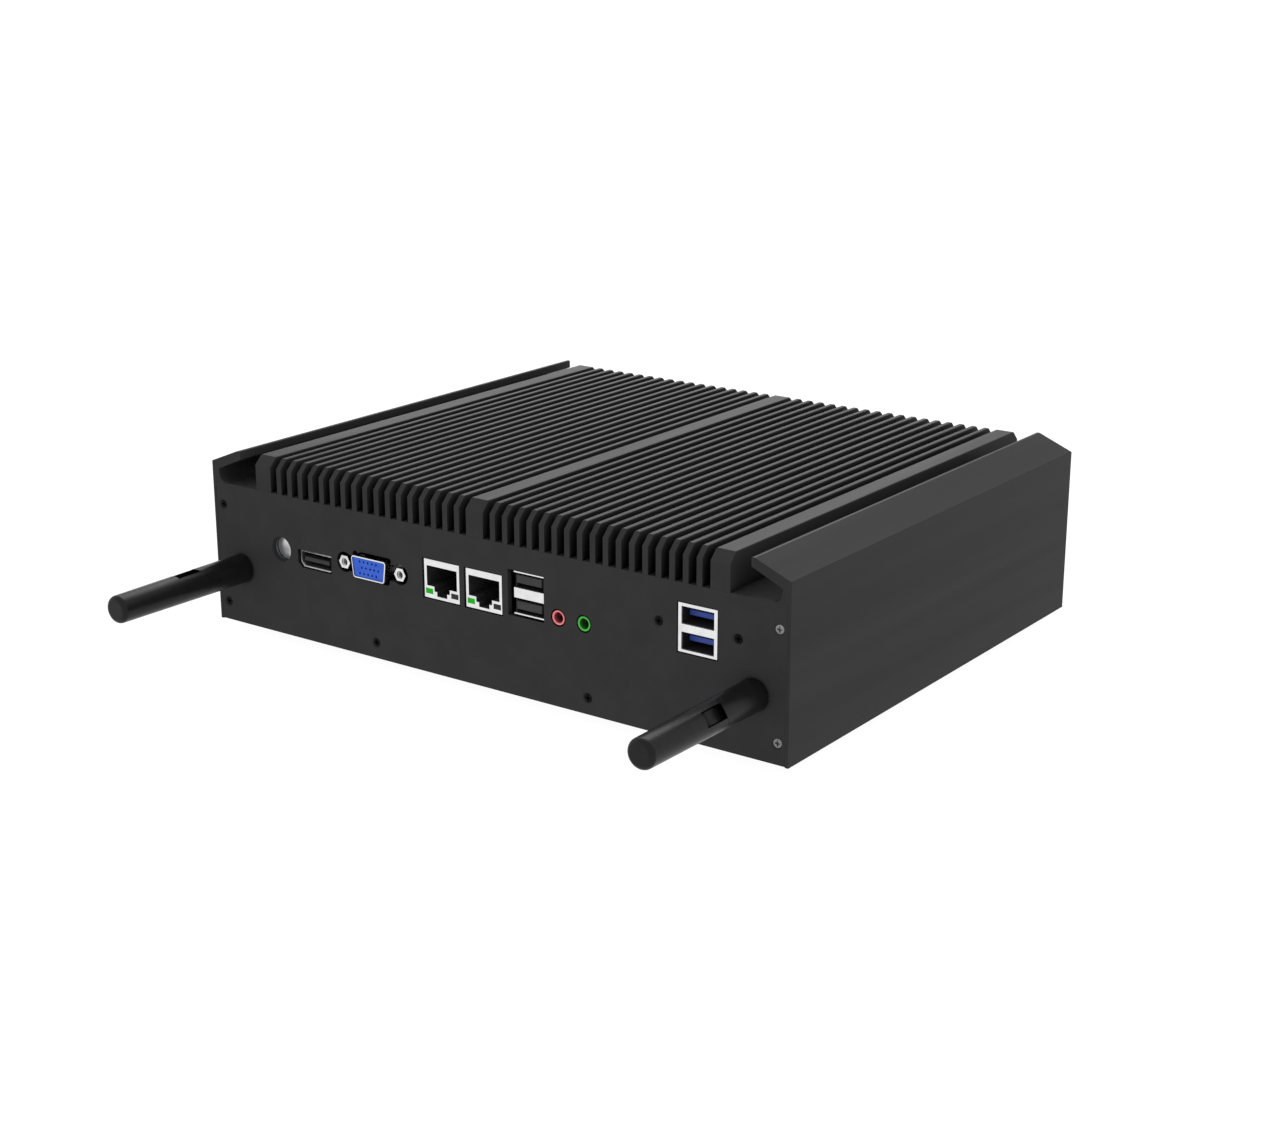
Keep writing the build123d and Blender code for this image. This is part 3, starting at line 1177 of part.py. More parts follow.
# The rod in the antenna's own plane: two cheeks beside the notch, and a flat tip with a rounded edge.
with BuildPart() as antenna_rod:
    with BuildSketch(Plane.XZ):
        with BuildLine():
            Polyline(
                (0, ROD_START),
                (antenna_taper(ROD_START), ROD_START),
                (ANTENNA_TIP_RADIUS, TIP_START),
            )
            RadiusArc(
                (ANTENNA_TIP_RADIUS, TIP_START),
                (ANTENNA_TIP_RADIUS - TIP_ROUNDING, ANTENNA_LENGTH),
                -TIP_ROUNDING,
            )
            Polyline((ANTENNA_TIP_RADIUS - TIP_ROUNDING, ANTENNA_LENGTH), (0, ANTENNA_LENGTH), (0, ROD_START))
        make_face()
    revolve(axis=Axis.Z)
    # The root end is rounded about the hinge pin, so that it can swing past the base.
    with BuildSketch(Plane.XZ.offset(-10)):
        with Locations((0, HINGE_REACH - 10)):
            Rectangle(20, 20)
        with Locations((0, HINGE_REACH)):
            Circle(KNUCKLE_RADIUS, mode=Mode.SUBTRACT)
    extrude(amount=20, mode=Mode.SUBTRACT)
    # The notch, open towards +x, takes the base's tongue when the rod is folded.
    notch_floor = TONGUE_RADIUS + KNUCKLE_GAP
    with BuildSketch(Plane.XZ.offset(-NOTCH_WIDTH / 2)):
        with BuildLine():
            Polyline(
                (-notch_floor, ROD_START - 1.0),
                (8.0, ROD_START - 1.0),
                (8.0, NOTCH_END),
                (1.0, NOTCH_END),
                (-notch_floor, NOTCH_END - 1.6),
                close=True,
            )
        make_face()
    extrude(amount=NOTCH_WIDTH, mode=Mode.SUBTRACT)
    with BuildSketch(Plane.XZ.offset(-PIN_HALF_LENGTH)):
        with Locations((0, HINGE_REACH)):
            Circle(PIN_RADIUS)
    extrude(amount=2 * PIN_HALF_LENGTH, mode=Mode.SUBTRACT)

with BuildPart() as antenna_pin:
    with BuildSketch(Plane.XZ.offset(-PIN_HALF_LENGTH)):
        with Locations((0, HINGE_REACH)):
            Circle(PIN_RADIUS)
    extrude(amount=2 * PIN_HALF_LENGTH)
    chamfer(antenna_pin.edges().filter_by(GeomType.CIRCLE), length=0.15)

antenna_pieces = {}
for side in ("left", "right"):
    place = antenna_plane(side).location
    antenna_pieces[f"antenna_base_{side}"] = place * antenna_base.part
    antenna_pieces[f"antenna_rod_{side}"] = place * antenna_rod.part
    antenna_pieces[f"antenna_pin_{side}"] = place * antenna_pin.part

# ---------------------------------------------------------------- leads clipped inside the housing


def bend_radii(points):
    """Largest bend radius for each corner of a route, up to a soft 12 mm bend."""
    radii = []
    for before, corner, after in zip(points, points[1:], points[2:]):
        first_run = Vector(*corner) - Vector(*before)
        second_run = Vector(*after) - Vector(*corner)
        half_turn = radians(first_run.get_angle(second_run)) / 2
        radii.append(min(0.45 * min(first_run.length, second_run.length) / tan(half_turn), LEAD_BEND))
    return radii


def lead(points, thickness):
    """Solid of a round lead along straight runs joined by arcs."""
    with BuildPart(mode=Mode.PRIVATE) as tube:
        with BuildLine() as route:
            FilletPolyline(*points, radius=bend_radii(points))
        with BuildSketch(Plane(origin=route.line @ 0, z_dir=route.line % 0)):
            Circle(thickness / 2)
        sweep()
    return tube.part


LEAD_BEND = 12.0
LEAD_THICKNESS = 1.4
LEAD_START = FRONT_Y + PANEL_THICKNESS + 3.0 + 4.0
LEAD_LOW = up(ANTENNA_Z)
LEAD_HIGH = up(BOARD_TOP + 3.75)
right_lead = lead(
    [
        (ANTENNA_X, LEAD_START, LEAD_LOW),
        (ANTENNA_X, LEAD_START + 40, LEAD_LOW),
        (95, -5, LEAD_LOW),
        (75, 20, LEAD_LOW),
        (45, 20, LEAD_LOW + 6),
        (24, 18, LEAD_HIGH),
        (20, 7.1, LEAD_HIGH),
    ],
    LEAD_THICKNESS,
)
left_lead = lead(
    [
        (-ANTENNA_X, LEAD_START, LEAD_LOW),
        (-ANTENNA_X, LEAD_START + 40, LEAD_LOW),
        (-103, 0, LEAD_LOW),
        (-85, 24, LEAD_LOW),
        (-50, 25, LEAD_LOW + 4),
        (-8, 20, LEAD_HIGH + 2),
        (8, 6, LEAD_HIGH + 2),
        (12, -5.5, LEAD_HIGH + 1),
        (18.9, -6, LEAD_HIGH),
    ],
    LEAD_THICKNESS,
)
with BuildPart() as antenna_leads:
    add(right_lead)
    add(left_lead)

# ---------------------------------------------------------------- names and files
pieces = {
    "body_extrusion": body_extrusion.part,
    "front_panel": front_panel.part,
    "rear_panel": rear_panel.part,
    "bottom_cover": bottom_cover.part,
    "rubber_feet": rubber_feet.part,
    "corner_screws_left": corner_screws_left.part,
    "corner_screws_right": corner_screws_right.part,
    "flange_screws": flange_screws.part,
    "usb3_bracket_screws": usb3_bracket_screws.part,
    "rear_panel_screws": rear_panel_screws.part,
    "bottom_cover_screws": bottom_cover_screws.part,
    "button_cap": button_cap.part,
    "button_barrel": button_barrel.part,
    "button_spring": button_spring.part,
    "button_switch": button_switch.part,
    "video_port_shell": video_port_shell.part,
    "video_port_tongue": video_port_tongue.part,
    "d_sub_shell": d_sub_shell.part,
    "d_sub_insert": d_sub_insert.part,
    "d_sub_posts": d_sub_posts.part,
    "network_jack_shields": network_jack_shields.part,
    "network_jack_inserts": network_jack_inserts.part,
    "network_jack_contacts": network_jack_contacts.part,
    "network_lamps_lit": network_lamps_lit.part,
    "network_lamps_dark": network_lamps_dark.part,
    "usb2_shell": usb2_shell.part,
    "usb2_tongues": usb2_tongues.part,
    "audio_jack_pink": audio_jack_pink.part,
    "audio_jack_green": audio_jack_green.part,
    "usb3_shell": usb3_shell.part,
    "usb3_tongues": usb3_tongues.part,
    "usb3_bracket": usb3_bracket.part,
    "usb3_board": usb3_board.part,
    "main_board": main_board.part,
    "processor": processor.part,
    "heat_block": heat_block.part,
    "memory_socket": memory_socket.part,
    "memory_module": memory_module.part,
    "wireless_card": wireless_card.part,
    "coin_cell_holder": coin_cell_holder.part,
    "coin_cell": coin_cell.part,
    "board_standoffs": board_standoffs.part,
    "board_screws": board_screws.part,
    "storage_drive": storage_drive.part,
    "drive_bracket": drive_bracket.part,
    "power_inlet": power_inlet.part,
    "power_inlet_nut": power_inlet_nut.part,
    "serial_port_shells": serial_port_shells.part,
    "serial_port_inserts": serial_port_inserts.part,
    "serial_port_pins": serial_port_pins.part,
    "serial_port_posts": serial_port_posts.part,
    "antenna_sockets": antenna_sockets.part,
    "antenna_ring_nuts": antenna_ring_nuts.part,
    "antenna_leads": antenna_leads.part,
    **antenna_pieces,
}
for name, piece in pieces.items():
    piece.label = name
    export_step(piece, f"parts/{name}.step")
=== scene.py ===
"""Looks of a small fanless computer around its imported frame: finishes, edge breaks, fine detail and stage.

Axes are the frame's own: +X right along the port panel, +Y to the rear, +Z up. Lengths are in metres,
apart from those of the mesh helpers and the fine detail, which are in millimetres.
"""
import json
import math

import bmesh
import bpy
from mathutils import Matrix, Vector

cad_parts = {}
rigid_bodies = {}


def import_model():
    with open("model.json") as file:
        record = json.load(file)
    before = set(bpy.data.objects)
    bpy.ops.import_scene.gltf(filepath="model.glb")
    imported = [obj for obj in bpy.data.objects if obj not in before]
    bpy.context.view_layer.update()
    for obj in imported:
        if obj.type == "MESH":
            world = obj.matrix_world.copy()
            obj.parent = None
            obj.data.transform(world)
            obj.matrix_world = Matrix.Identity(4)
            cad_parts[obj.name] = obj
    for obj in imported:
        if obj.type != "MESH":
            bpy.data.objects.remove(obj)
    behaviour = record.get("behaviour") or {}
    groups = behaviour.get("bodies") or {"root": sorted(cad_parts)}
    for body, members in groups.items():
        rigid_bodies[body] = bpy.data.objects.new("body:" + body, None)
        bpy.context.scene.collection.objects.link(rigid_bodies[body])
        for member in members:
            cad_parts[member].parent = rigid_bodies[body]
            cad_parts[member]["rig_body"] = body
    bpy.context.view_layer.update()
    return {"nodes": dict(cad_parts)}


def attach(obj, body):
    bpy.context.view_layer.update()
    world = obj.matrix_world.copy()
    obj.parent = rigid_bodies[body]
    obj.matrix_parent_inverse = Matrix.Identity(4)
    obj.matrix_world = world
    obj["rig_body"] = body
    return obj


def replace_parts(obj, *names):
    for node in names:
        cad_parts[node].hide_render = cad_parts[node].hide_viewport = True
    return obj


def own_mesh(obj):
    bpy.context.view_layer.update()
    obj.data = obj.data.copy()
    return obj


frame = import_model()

MM = 0.001

# ---------------------------------------------------------------- camera and light values
CAMERA_PLACE = (0.4327, -0.6026, 0.2531)
CAMERA_AZIMUTH = 35.86
CAMERA_ELEVATION = 17.29
CAMERA_LENS = 60.87
SENSOR_WIDTH = 36.0
FLOOR_SIZE = 24.0
FLOOR_GLOW = 0.96
SKY_STRENGTH = 1.05
# Name, place, the point it faces, size and watts of each light.
SOFT_LIGHTS = (
    ("high_softbox", (-0.45, 1.0, 1.25), (0.0, 0.0, 0.0), 1.0, 10.0),
    ("low_softbox", (-1.7, 2.35, 0.9), (0.0, 0.0, 0.05), 1.2, 7.5),
)


def linear(*srgb):
    """A display colour, 0 to 255 for each channel, as the linear values that shaders take."""
    def channel(value):
        share = value / 255
        return share / 12.92 if share <= 0.04045 else ((share + 0.055) / 1.055) ** 2.4
    return tuple(channel(value) for value in srgb) + (1.0,)


def grey(level):
    """A neutral display tone, 0 to 255."""
    return linear(level, level, level)


# ---------------------------------------------------------------- finishes
# Painted shade: a near-black tone for corners and recesses, and how far such darkening reaches.
PAINTED_RECESS_SHADE = grey(5)
PAINTED_SHADE_REACH = 5 * MM
# Socket shells are dull and take painted shade nearer the housing's middle than the first distance, and are
# plated beyond the second.
PAINTED_SHADE_WITHIN, PLATED_FULLY = 93.1 * MM, 93.5 * MM


class Finish:
    """The node tree of one material slot, built from nothing, with short ways to add its nodes."""

    def __init__(self, slot):
        self.material = bpy.data.materials.get(slot) or bpy.data.materials.new(slot)
        self.material.use_nodes = True
        self.tree = self.material.node_tree
        self.tree.nodes.clear()
        self.shader = self.add("ShaderNodeBsdfPrincipled")
        output = self.add("ShaderNodeOutputMaterial")
        self.tree.links.new(self.shader.outputs["BSDF"], output.inputs["Surface"])
        self.place = self.add("ShaderNodeTexCoord").outputs["Object"]
        self.normal = None

    def add(self, kind, inputs=(), **properties):
        """A new node with its properties and inputs set: an input is a value or another node's output."""
        node = self.tree.nodes.new(kind)
        for name, value in properties.items():
            setattr(node, name, value)
        for name, value in dict(inputs).items():
            self.put(node.inputs[name], value)
        return node

    def put(self, socket, value):
        """Sets a socket to a value, or joins it to another node's output."""
        if isinstance(value, bpy.types.NodeSocket):
            self.tree.links.new(value, socket)
        else:
            socket.default_value = value

    def set(self, **inputs):
        """Sets the shader's inputs; an underscore stands for a space in their names."""
        for name, value in inputs.items():
            self.put(self.shader.inputs[name.replace("_", " ")], value)

    def noise(self, size, detail=3.0, stretch=(1.0, 1.0, 1.0)):
        """Cloudy noise from 0 to 1, with blobs of that size in metres, longer along each axis by stretch."""
        scale = [1 / (size * factor) for factor in stretch]
        place = self.add("ShaderNodeMapping", {"Vector": self.place, "Scale": scale}).outputs["Vector"]
        inputs = {"Vector": place, "Scale": 1.0, "Detail": detail}
        return self.add("ShaderNodeTexNoise", inputs).outputs["Fac"]

    def span(self, value, low, high, start=0.3, end=0.7):
        """Value, from start to end, stretched to run from low to high."""
        limits = {"From Min": start, "From Max": end, "To Min": low, "To Max": high}
        return self.add("ShaderNodeMapRange", {"Value": value, **limits}).outputs["Result"]

    def ramp(self, value, *stops):
        """A colour that follows value through stops of (position, colour)."""
        node = self.add("ShaderNodeValToRGB", {"Fac": value})
        points = node.color_ramp.elements
        while len(points) < len(stops):
            points.new(1.0)
        for point, (position, colour) in zip(points, stops):
            point.position = position
            point.color = colour
        return node.outputs["Color"]

    def mix(self, share, first, second):
        """First where share is 0 and second where it is 1."""
        node = self.add("ShaderNodeMix", data_type="RGBA", clamp_factor=True)
        for name, kind, value in (("Factor", "VALUE", share), ("A", "RGBA", first), ("B", "RGBA", second)):
            socket = next(s for s in node.inputs if s.name == name and s.type == kind)
            self.put(socket, value)
        return next(s for s in node.outputs if s.type == "RGBA")

    def math(self, operation, first, second):
        """The result of one arithmetic operation."""
        node = self.add("ShaderNodeMath", operation=operation)
        self.put(node.inputs[0], first)
        self.put(node.inputs[1], second)
        return node.outputs[0]

    def edges(self, radius):
        """1 on edges and 0 on the flats, from how far a rounded normal leans from the true one."""
        rounded = self.add("ShaderNodeBevel", {"Radius": radius}, samples=4).outputs["Normal"]
        true = self.add("ShaderNodeNewGeometry").outputs["True Normal"]
        lean = self.add("ShaderNodeVectorMath", {0: rounded, 1: true}, operation="DOT_PRODUCT")
        return self.span(lean.outputs["Value"], 1.0, 0.0, 0.72, 0.99)

    def painted_shade_mask(self, reach):
        """1 in open places and towards 0 in corners and recesses: the mask of painted shade, from ambient
        occlusion.
        """
        node = self.add("ShaderNodeAmbientOcclusion", {"Distance": reach}, samples=8, only_local=False)
        return self.span(node.outputs["AO"], 0.0, 1.0, 0.15, 0.75)

    def outside(self, start, end):
        """0 within start of the housing's middle and 1 beyond end, both measured along Y."""
        along = self.add("ShaderNodeSeparateXYZ", {0: self.place}).outputs["Y"]
        return self.span(self.math("ABSOLUTE", along, 0.0), 0.0, 1.0, start, end)

    def relief(self, height, depth):
        """Bumps of that depth in metres, on top of those already there."""
        inputs = {"Height": height, "Distance": depth, "Strength": 1.0}
        if self.normal is not None:
            inputs["Normal"] = self.normal
        self.normal = self.add("ShaderNodeBump", inputs).outputs["Normal"]
        self.put(self.shader.inputs["Normal"], self.normal)


def coated_metal(slot, dark, light, rough, sheen_level, grain, depth, reach, worn_and_highlit, drawn=(1, 1, 1)):
    """Anodised or powder-coated aluminium: fine grain, faint mottling, edges lightened partly by rubbing and
    partly as a painted highlight, and painted shade in recesses.
    """
    finish = Finish(slot)
    mottle = finish.noise(9 * MM, 4.0, drawn)
    colour = finish.ramp(mottle, (0.35, dark), (0.65, light))
    # Edges lighter, partly as rubbing and partly as a painted highlight.
    uneven = finish.span(finish.noise(2.5 * MM), 0.2, 1.0)
    rubbed_and_highlit = finish.math("MULTIPLY", finish.edges(0.25 * MM), uneven)
    colour = finish.mix(rubbed_and_highlit, colour, worn_and_highlit)
    # Painted shade: corners and recesses darkened to near black.
    colour = finish.mix(finish.painted_shade_mask(reach), PAINTED_RECESS_SHADE, colour)
    finish.set(Base_Color=colour, Metallic=0.0, Specular_IOR_Level=sheen_level)
    finish.set(Roughness=finish.span(finish.noise(3 * MM, 3.0, drawn), rough[0], rough[1]))
    finish.relief(finish.noise(grain, 2.0, drawn), depth)


def moulded_plastic(slot, dark, light, rough, grain=0.12 * MM, depth=0.002 * MM, sheen_level=0.5, recess_shade=None):
    """Moulded plastic: a spark-eroded grain and slightly uneven gloss, and, when a tone is given, painted
    shade of that tone in its recesses.
    """
    finish = Finish(slot)
    colour = finish.ramp(finish.noise(4 * MM), (0.3, dark), (0.7, light))
    if recess_shade is not None:
        # Painted shade in the recesses.
        colour = finish.mix(finish.painted_shade_mask(PAINTED_SHADE_REACH), recess_shade, colour)
    finish.set(Base_Color=colour, Specular_IOR_Level=sheen_level)
    finish.set(Roughness=finish.span(finish.noise(1.5 * MM), rough[0], rough[1]))
    finish.relief(finish.noise(grain, 2.0), depth)
    return finish


def bare_metal(slot, dark, light, rough, brushed=(1, 1, 1), inside=None, recess_shade=None):
    """Plated, machined or rolled metal: fine scratches and tarnish that varies a little.

    With deep its recesses take that tone as painted shade, and with inside it takes that colour within the
    housing as painted shade and is dull there.
    """
    finish = Finish(slot)
    colour = finish.ramp(finish.noise(2.5 * MM, 4.0), (0.3, dark), (0.7, light))
    gloss = finish.span(finish.noise(0.8 * MM, 3.0, brushed), rough[0], rough[1])
    if recess_shade is not None:
        # Painted shade in the recesses.
        colour = finish.mix(finish.painted_shade_mask(PAINTED_SHADE_REACH), recess_shade, colour)
    if inside is None:
        finish.set(Base_Color=colour, Metallic=1.0, Roughness=gloss)
    else:
        # Painted shade: within the housing the shell takes a dark colour and is dull, not metallic.
        face = finish.outside(PAINTED_SHADE_WITHIN, PLATED_FULLY)
        finish.set(Base_Color=finish.mix(face, inside, colour), Metallic=face)
        finish.set(Roughness=finish.math("ADD", gloss, finish.span(face, 0.6, 0.0, 0.0, 1.0)))
    finish.relief(finish.noise(0.1 * MM, 2.0, brushed), 0.001 * MM)


def make_finishes():
    """Every slot of the record gets its own finish; drawn stretches the grain along the extrusion."""
    drawn = (1, 30, 1)
    white_metal = (grey(214), grey(226), (0.16, 0.24))
    coated_metal(
        "housing_black", grey(47), grey(51), (0.33, 0.38), sheen_level=0.02,
        grain=0.22 * MM, depth=0.0015 * MM, reach=6 * MM, drawn=drawn, worn_and_highlit=grey(66),
    )
    coated_metal(
        "panel_black", grey(48), grey(51), (0.36, 0.42), sheen_level=0.02,
        grain=0.16 * MM, depth=0.002 * MM, reach=3 * MM, worn_and_highlit=grey(64),
    )
    moulded_plastic("foot_rubber", grey(16), grey(24), (0.75, 0.9), grain=0.3 * MM, depth=0.01 * MM)
    # screw_silver is a lit copy of screw_black's finish: a painted highlight.
    bare_metal("screw_black", grey(16), grey(26), (0.4, 0.5))
    bare_metal("screw_silver", grey(118), grey(140), (0.25, 0.4))
    bare_metal("button_metal", linear(226, 226, 227), linear(240, 240, 241), (0.34, 0.44))
    # Painted shade: in plated_metal's and steel_plate's recesses, and inside the housing for the next two
    # shells.
    bare_metal("plated_metal", *white_metal, recess_shade=grey(12))
    bare_metal("dull_plated_metal", grey(160), grey(182), (0.2, 0.3), inside=grey(40))
    bare_metal("usb_shell_metal", *white_metal, inside=linear(6, 6, 7))
    bare_metal("pin_dark", grey(30), grey(42), (0.35, 0.45))
    moulded_plastic("video_blue", linear(32, 79, 186), linear(41, 92, 199), (0.35, 0.48), sheen_level=0.3)
    moulded_plastic("usb_blue", linear(44, 66, 148), linear(54, 78, 165), (0.35, 0.5), sheen_level=0.3)
    moulded_plastic("connector_black", grey(38), grey(46), (0.5, 0.62), sheen_level=0.25)
    moulded_plastic("tongue_grey", linear(44, 44, 45), linear(54, 54, 55), (0.42, 0.55), sheen_level=0.2)
    bare_metal("contact_gold", linear(214, 168, 84), linear(236, 196, 112), (0.2, 0.32))
    lamp = moulded_plastic("lamp_green", linear(8, 150, 8), linear(12, 170, 12), (0.3, 0.4), sheen_level=0.1)
    lamp.set(Emission_Color=linear(10, 190, 10), Emission_Strength=0.12)
    moulded_plastic("lamp_dark", linear(30, 30, 29), linear(38, 38, 37), (0.25, 0.35), sheen_level=0.2)
    # The audio jacks' darker tones are painted shade in their bores.
    moulded_plastic(
        "audio_pink", linear(212, 108, 114), linear(226, 122, 128), (0.35, 0.48),
        recess_shade=linear(90, 22, 26),
    )
    moulded_plastic(
        "audio_green", linear(50, 160, 50), linear(66, 176, 66), (0.35, 0.48),
        recess_shade=linear(12, 70, 12),
    )
    circuit_board("circuit_board")
    moulded_plastic("chip_black", linear(20, 20, 22), linear(28, 28, 30), (0.45, 0.6))
    bare_metal(
        "bare_aluminium", linear(168, 170, 172), linear(196, 198, 200), (0.3, 0.45),
        brushed=(1, 20, 1),
    )
    bare_metal("cell_metal", linear(176, 176, 174), linear(206, 206, 204), (0.22, 0.34))
    bare_metal("steel_plate", linear(120, 122, 124), linear(150, 152, 154), (0.35, 0.5), recess_shade=grey(14))
    bare_metal("brass_plated", linear(196, 164, 96), linear(220, 190, 120), (0.25, 0.38))
    antenna_rubber("antenna_black")
    moulded_plastic("lead_black", grey(16), grey(24), (0.5, 0.65))


def antenna_rubber(slot):
    """Satin black moulding, with painted shade in its notch and seams."""
    finish = Finish(slot)
    satin = finish.ramp(finish.noise(4 * MM), (0.3, grey(19)), (0.7, grey(24)))
    # Painted shade: near black in the notch and seams.
    colour = finish.mix(finish.painted_shade_mask(PAINTED_SHADE_REACH), grey(4), satin)
    finish.set(Base_Color=colour, Specular_IOR_Level=0.15)
    finish.set(Roughness=finish.span(finish.noise(1.5 * MM), 0.3, 0.36))
    finish.relief(finish.noise(0.15 * MM, 2.0), 0.003 * MM)


def circuit_board(slot):
    """Solder mask over copper tracks, with plated holes."""
    finish = Finish(slot)
    track_pitch = 1.6 * MM
    mask = finish.ramp(finish.noise(6 * MM), (0.3, linear(10, 52, 26)), (0.7, linear(14, 62, 32)))
    cells = finish.add("ShaderNodeMapping", {"Vector": finish.place, "Scale": (1 / track_pitch,) * 3})
    tracks = finish.add(
        "ShaderNodeTexVoronoi", {"Vector": cells.outputs["Vector"], "Scale": 1.0},
        distance="MANHATTAN", feature="DISTANCE_TO_EDGE",
    )
    line = finish.span(tracks.outputs["Distance"], 1.0, 0.0, 0.05, 0.08)
    colour = finish.mix(line, mask, linear(24, 92, 48))
    holes = finish.add("ShaderNodeTexVoronoi", {"Vector": cells.outputs["Vector"], "Scale": 0.45})
    ring = finish.span(holes.outputs["Distance"], 1.0, 0.0, 0.08, 0.1)
    finish.set(Base_Color=finish.mix(ring, colour, linear(205, 180, 110)), Roughness=0.35)
    finish.relief(line, 0.02 * MM)


# ---------------------------------------------------------------- mesh helpers
def shown(name, mesh, slot, body):
    """A new piece made from a bmesh, with its finish, riding on its body."""
    data = bpy.data.meshes.new(name)
    mesh.to_mesh(data)
    mesh.free()
    data.materials.append(bpy.data.materials[slot])
    piece = bpy.data.objects.new(name, data)
    bpy.context.scene.collection.objects.link(piece)
    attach(piece, body)
    return piece


def applied(piece):
    """The piece with its modifiers turned into plain mesh."""
    graph = bpy.context.evaluated_depsgraph_get()
    made = bpy.data.meshes.new_from_object(piece.evaluated_get(graph), depsgraph=graph)
    piece.modifiers.clear()
    piece.data = made
    return piece


WELD = 0.0005 * MM
FLAT = math.radians(0.4)
SHARP = math.radians(38)
PANEL_FOOT = 3.6
THREAD_STEPS = 24


def edge_broken(node, width):
    """Stands for a CAD node with its sharp edges rounded over, as tumbling or coating leaves them."""
    source = frame["nodes"][node]
    slot = source.material_slots[0].material.name
    mesh = bmesh.new()
    mesh.from_mesh(source.data)
    bmesh.ops.remove_doubles(mesh, verts=mesh.verts, dist=WELD)
    bmesh.ops.dissolve_limit(mesh, angle_limit=FLAT, verts=mesh.verts, edges=mesh.edges)
    piece = shown(node + "_finished", mesh, slot, source["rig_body"])
    rounding = piece.modifiers.new("rounding", "BEVEL")
    rounding.width = width
    rounding.segments = 2
    rounding.limit_method = "ANGLE"
    rounding.angle_limit = SHARP
    rounding.use_clamp_overlap = True
    applied(piece)
    piece.data.shade_smooth()
    piece.data.set_sharp_from_angle(angle=SHARP)
    even = piece.modifiers.new("even_normals", "WEIGHTED_NORMAL")
    even.keep_sharp = True
    applied(piece)
    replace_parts(piece, node)
    return piece


def up(height):
    """Height in millimetres above the table of a point this high above the port panel's lower edge."""
    return PANEL_FOOT + height


def turned(mesh, profile, place, axis, segments=32):
    """Adds a solid of revolution around an axis.

    The profile's points are (radius, distance along the axis), in a closed loop or from axis to axis.
    """
    turn = Vector((0, 0, 1)).rotation_difference(Vector(axis))
    rings = []
    for radius, reach in profile:
        count = segments if radius > 1e-6 else 1
        angles = [2 * math.pi * step / segments for step in range(count)]
        points = [Vector((radius * math.cos(a), radius * math.sin(a), reach)) for a in angles]
        rings.append([mesh.verts.new((Vector(place) + turn @ point) * MM) for point in points])
    closed = profile[0][0] > 1e-6
    pairs = list(zip(rings, rings[1:])) + ([(rings[-1], rings[0])] if closed else [])
    for first, second in pairs:
        for step in range(segments):
            after = (step + 1) % segments
            corners = [first[step % len(first)], first[after % len(first)]]
            corners += [second[after % len(second)], second[step % len(second)]]
            corners = list(dict.fromkeys(corners))
            if len(corners) > 2:
                mesh.faces.new(corners)


def block(mesh, centre, size, chamfer=0.0):
    """Adds a box, its edges broken by the chamfer, with everything in millimetres."""
    made = bmesh.ops.create_cube(mesh, size=1.0)["verts"]
    bmesh.ops.scale(mesh, verts=made, vec=Vector(size) * MM)
    bmesh.ops.translate(mesh, verts=made, vec=Vector(centre) * MM)
    if chamfer:
        edges = list({edge for vert in made for edge in vert.link_edges})
        bmesh.ops.bevel(mesh, geom=edges, offset=chamfer * MM, segments=2, affect="EDGES", profile=0.5)


def helix(mesh, place, axis, radius, crest, pitch, length):
    """Adds an inside thread: a ridge from the bore's radius to its crest, wound along the axis."""
    turn = Vector((0, 0, 1)).rotation_difference(Vector(axis))
    rows = []
    for step in range(int(length / pitch * THREAD_STEPS) + 1):
        angle = 2 * math.pi * step / THREAD_STEPS
        reach = pitch * step / THREAD_STEPS
        row = []
        for r, shift in ((radius, -0.32), (crest, -0.06), (crest, 0.06), (radius, 0.32)):
            point = Vector((r * math.cos(angle), r * math.sin(angle), reach + shift * pitch))
            row.append(mesh.verts.new((Vector(place) + turn @ point) * MM))
        rows.append(row)
    for first, second in zip(rows, rows[1:]):
        for i in range(4):
            j = (i + 1) % 4
            mesh.faces.new((first[i], first[j], second[j], second[i]))
    mesh.faces.new(rows[0][::-1])
    mesh.faces.new(rows[-1])


def detail(name, slot, build):
    """One named detail piece on the housing, whose mesh is filled in by build."""
    mesh = bmesh.new()
    build(mesh)
    bmesh.ops.recalc_face_normals(mesh, faces=mesh.faces)
    piece = shown(name, mesh, slot, "housing")
    piece.data.shade_smooth()
    piece.data.set_sharp_from_angle(angle=SHARP)
    return piece


# ---------------------------------------------------------------- edge breaks
# How far the sharp edges of each CAD node are rounded over.
EDGE_BREAKS = {
    "body_extrusion": 0.2 * MM,
    "front_panel": 0.05 * MM,
    "rear_panel": 0.05 * MM,
    "bottom_cover": 0.1 * MM,
    "network_jack_shields": 0.08 * MM,
    "usb2_shell": 0.08 * MM,
    "usb2_tongues": 0.08 * MM,
    "usb3_shell": 0.1 * MM,
    "usb3_tongues": 0.08 * MM,
    "usb3_bracket": 0.12 * MM,
    "video_port_shell": 0.07 * MM,
    "memory_socket": 0.15 * MM,
    "heat_block": 0.4 * MM,
    "storage_drive": 0.25 * MM,
    "drive_bracket": 0.2 * MM,
    "coin_cell_holder": 0.25 * MM,
}

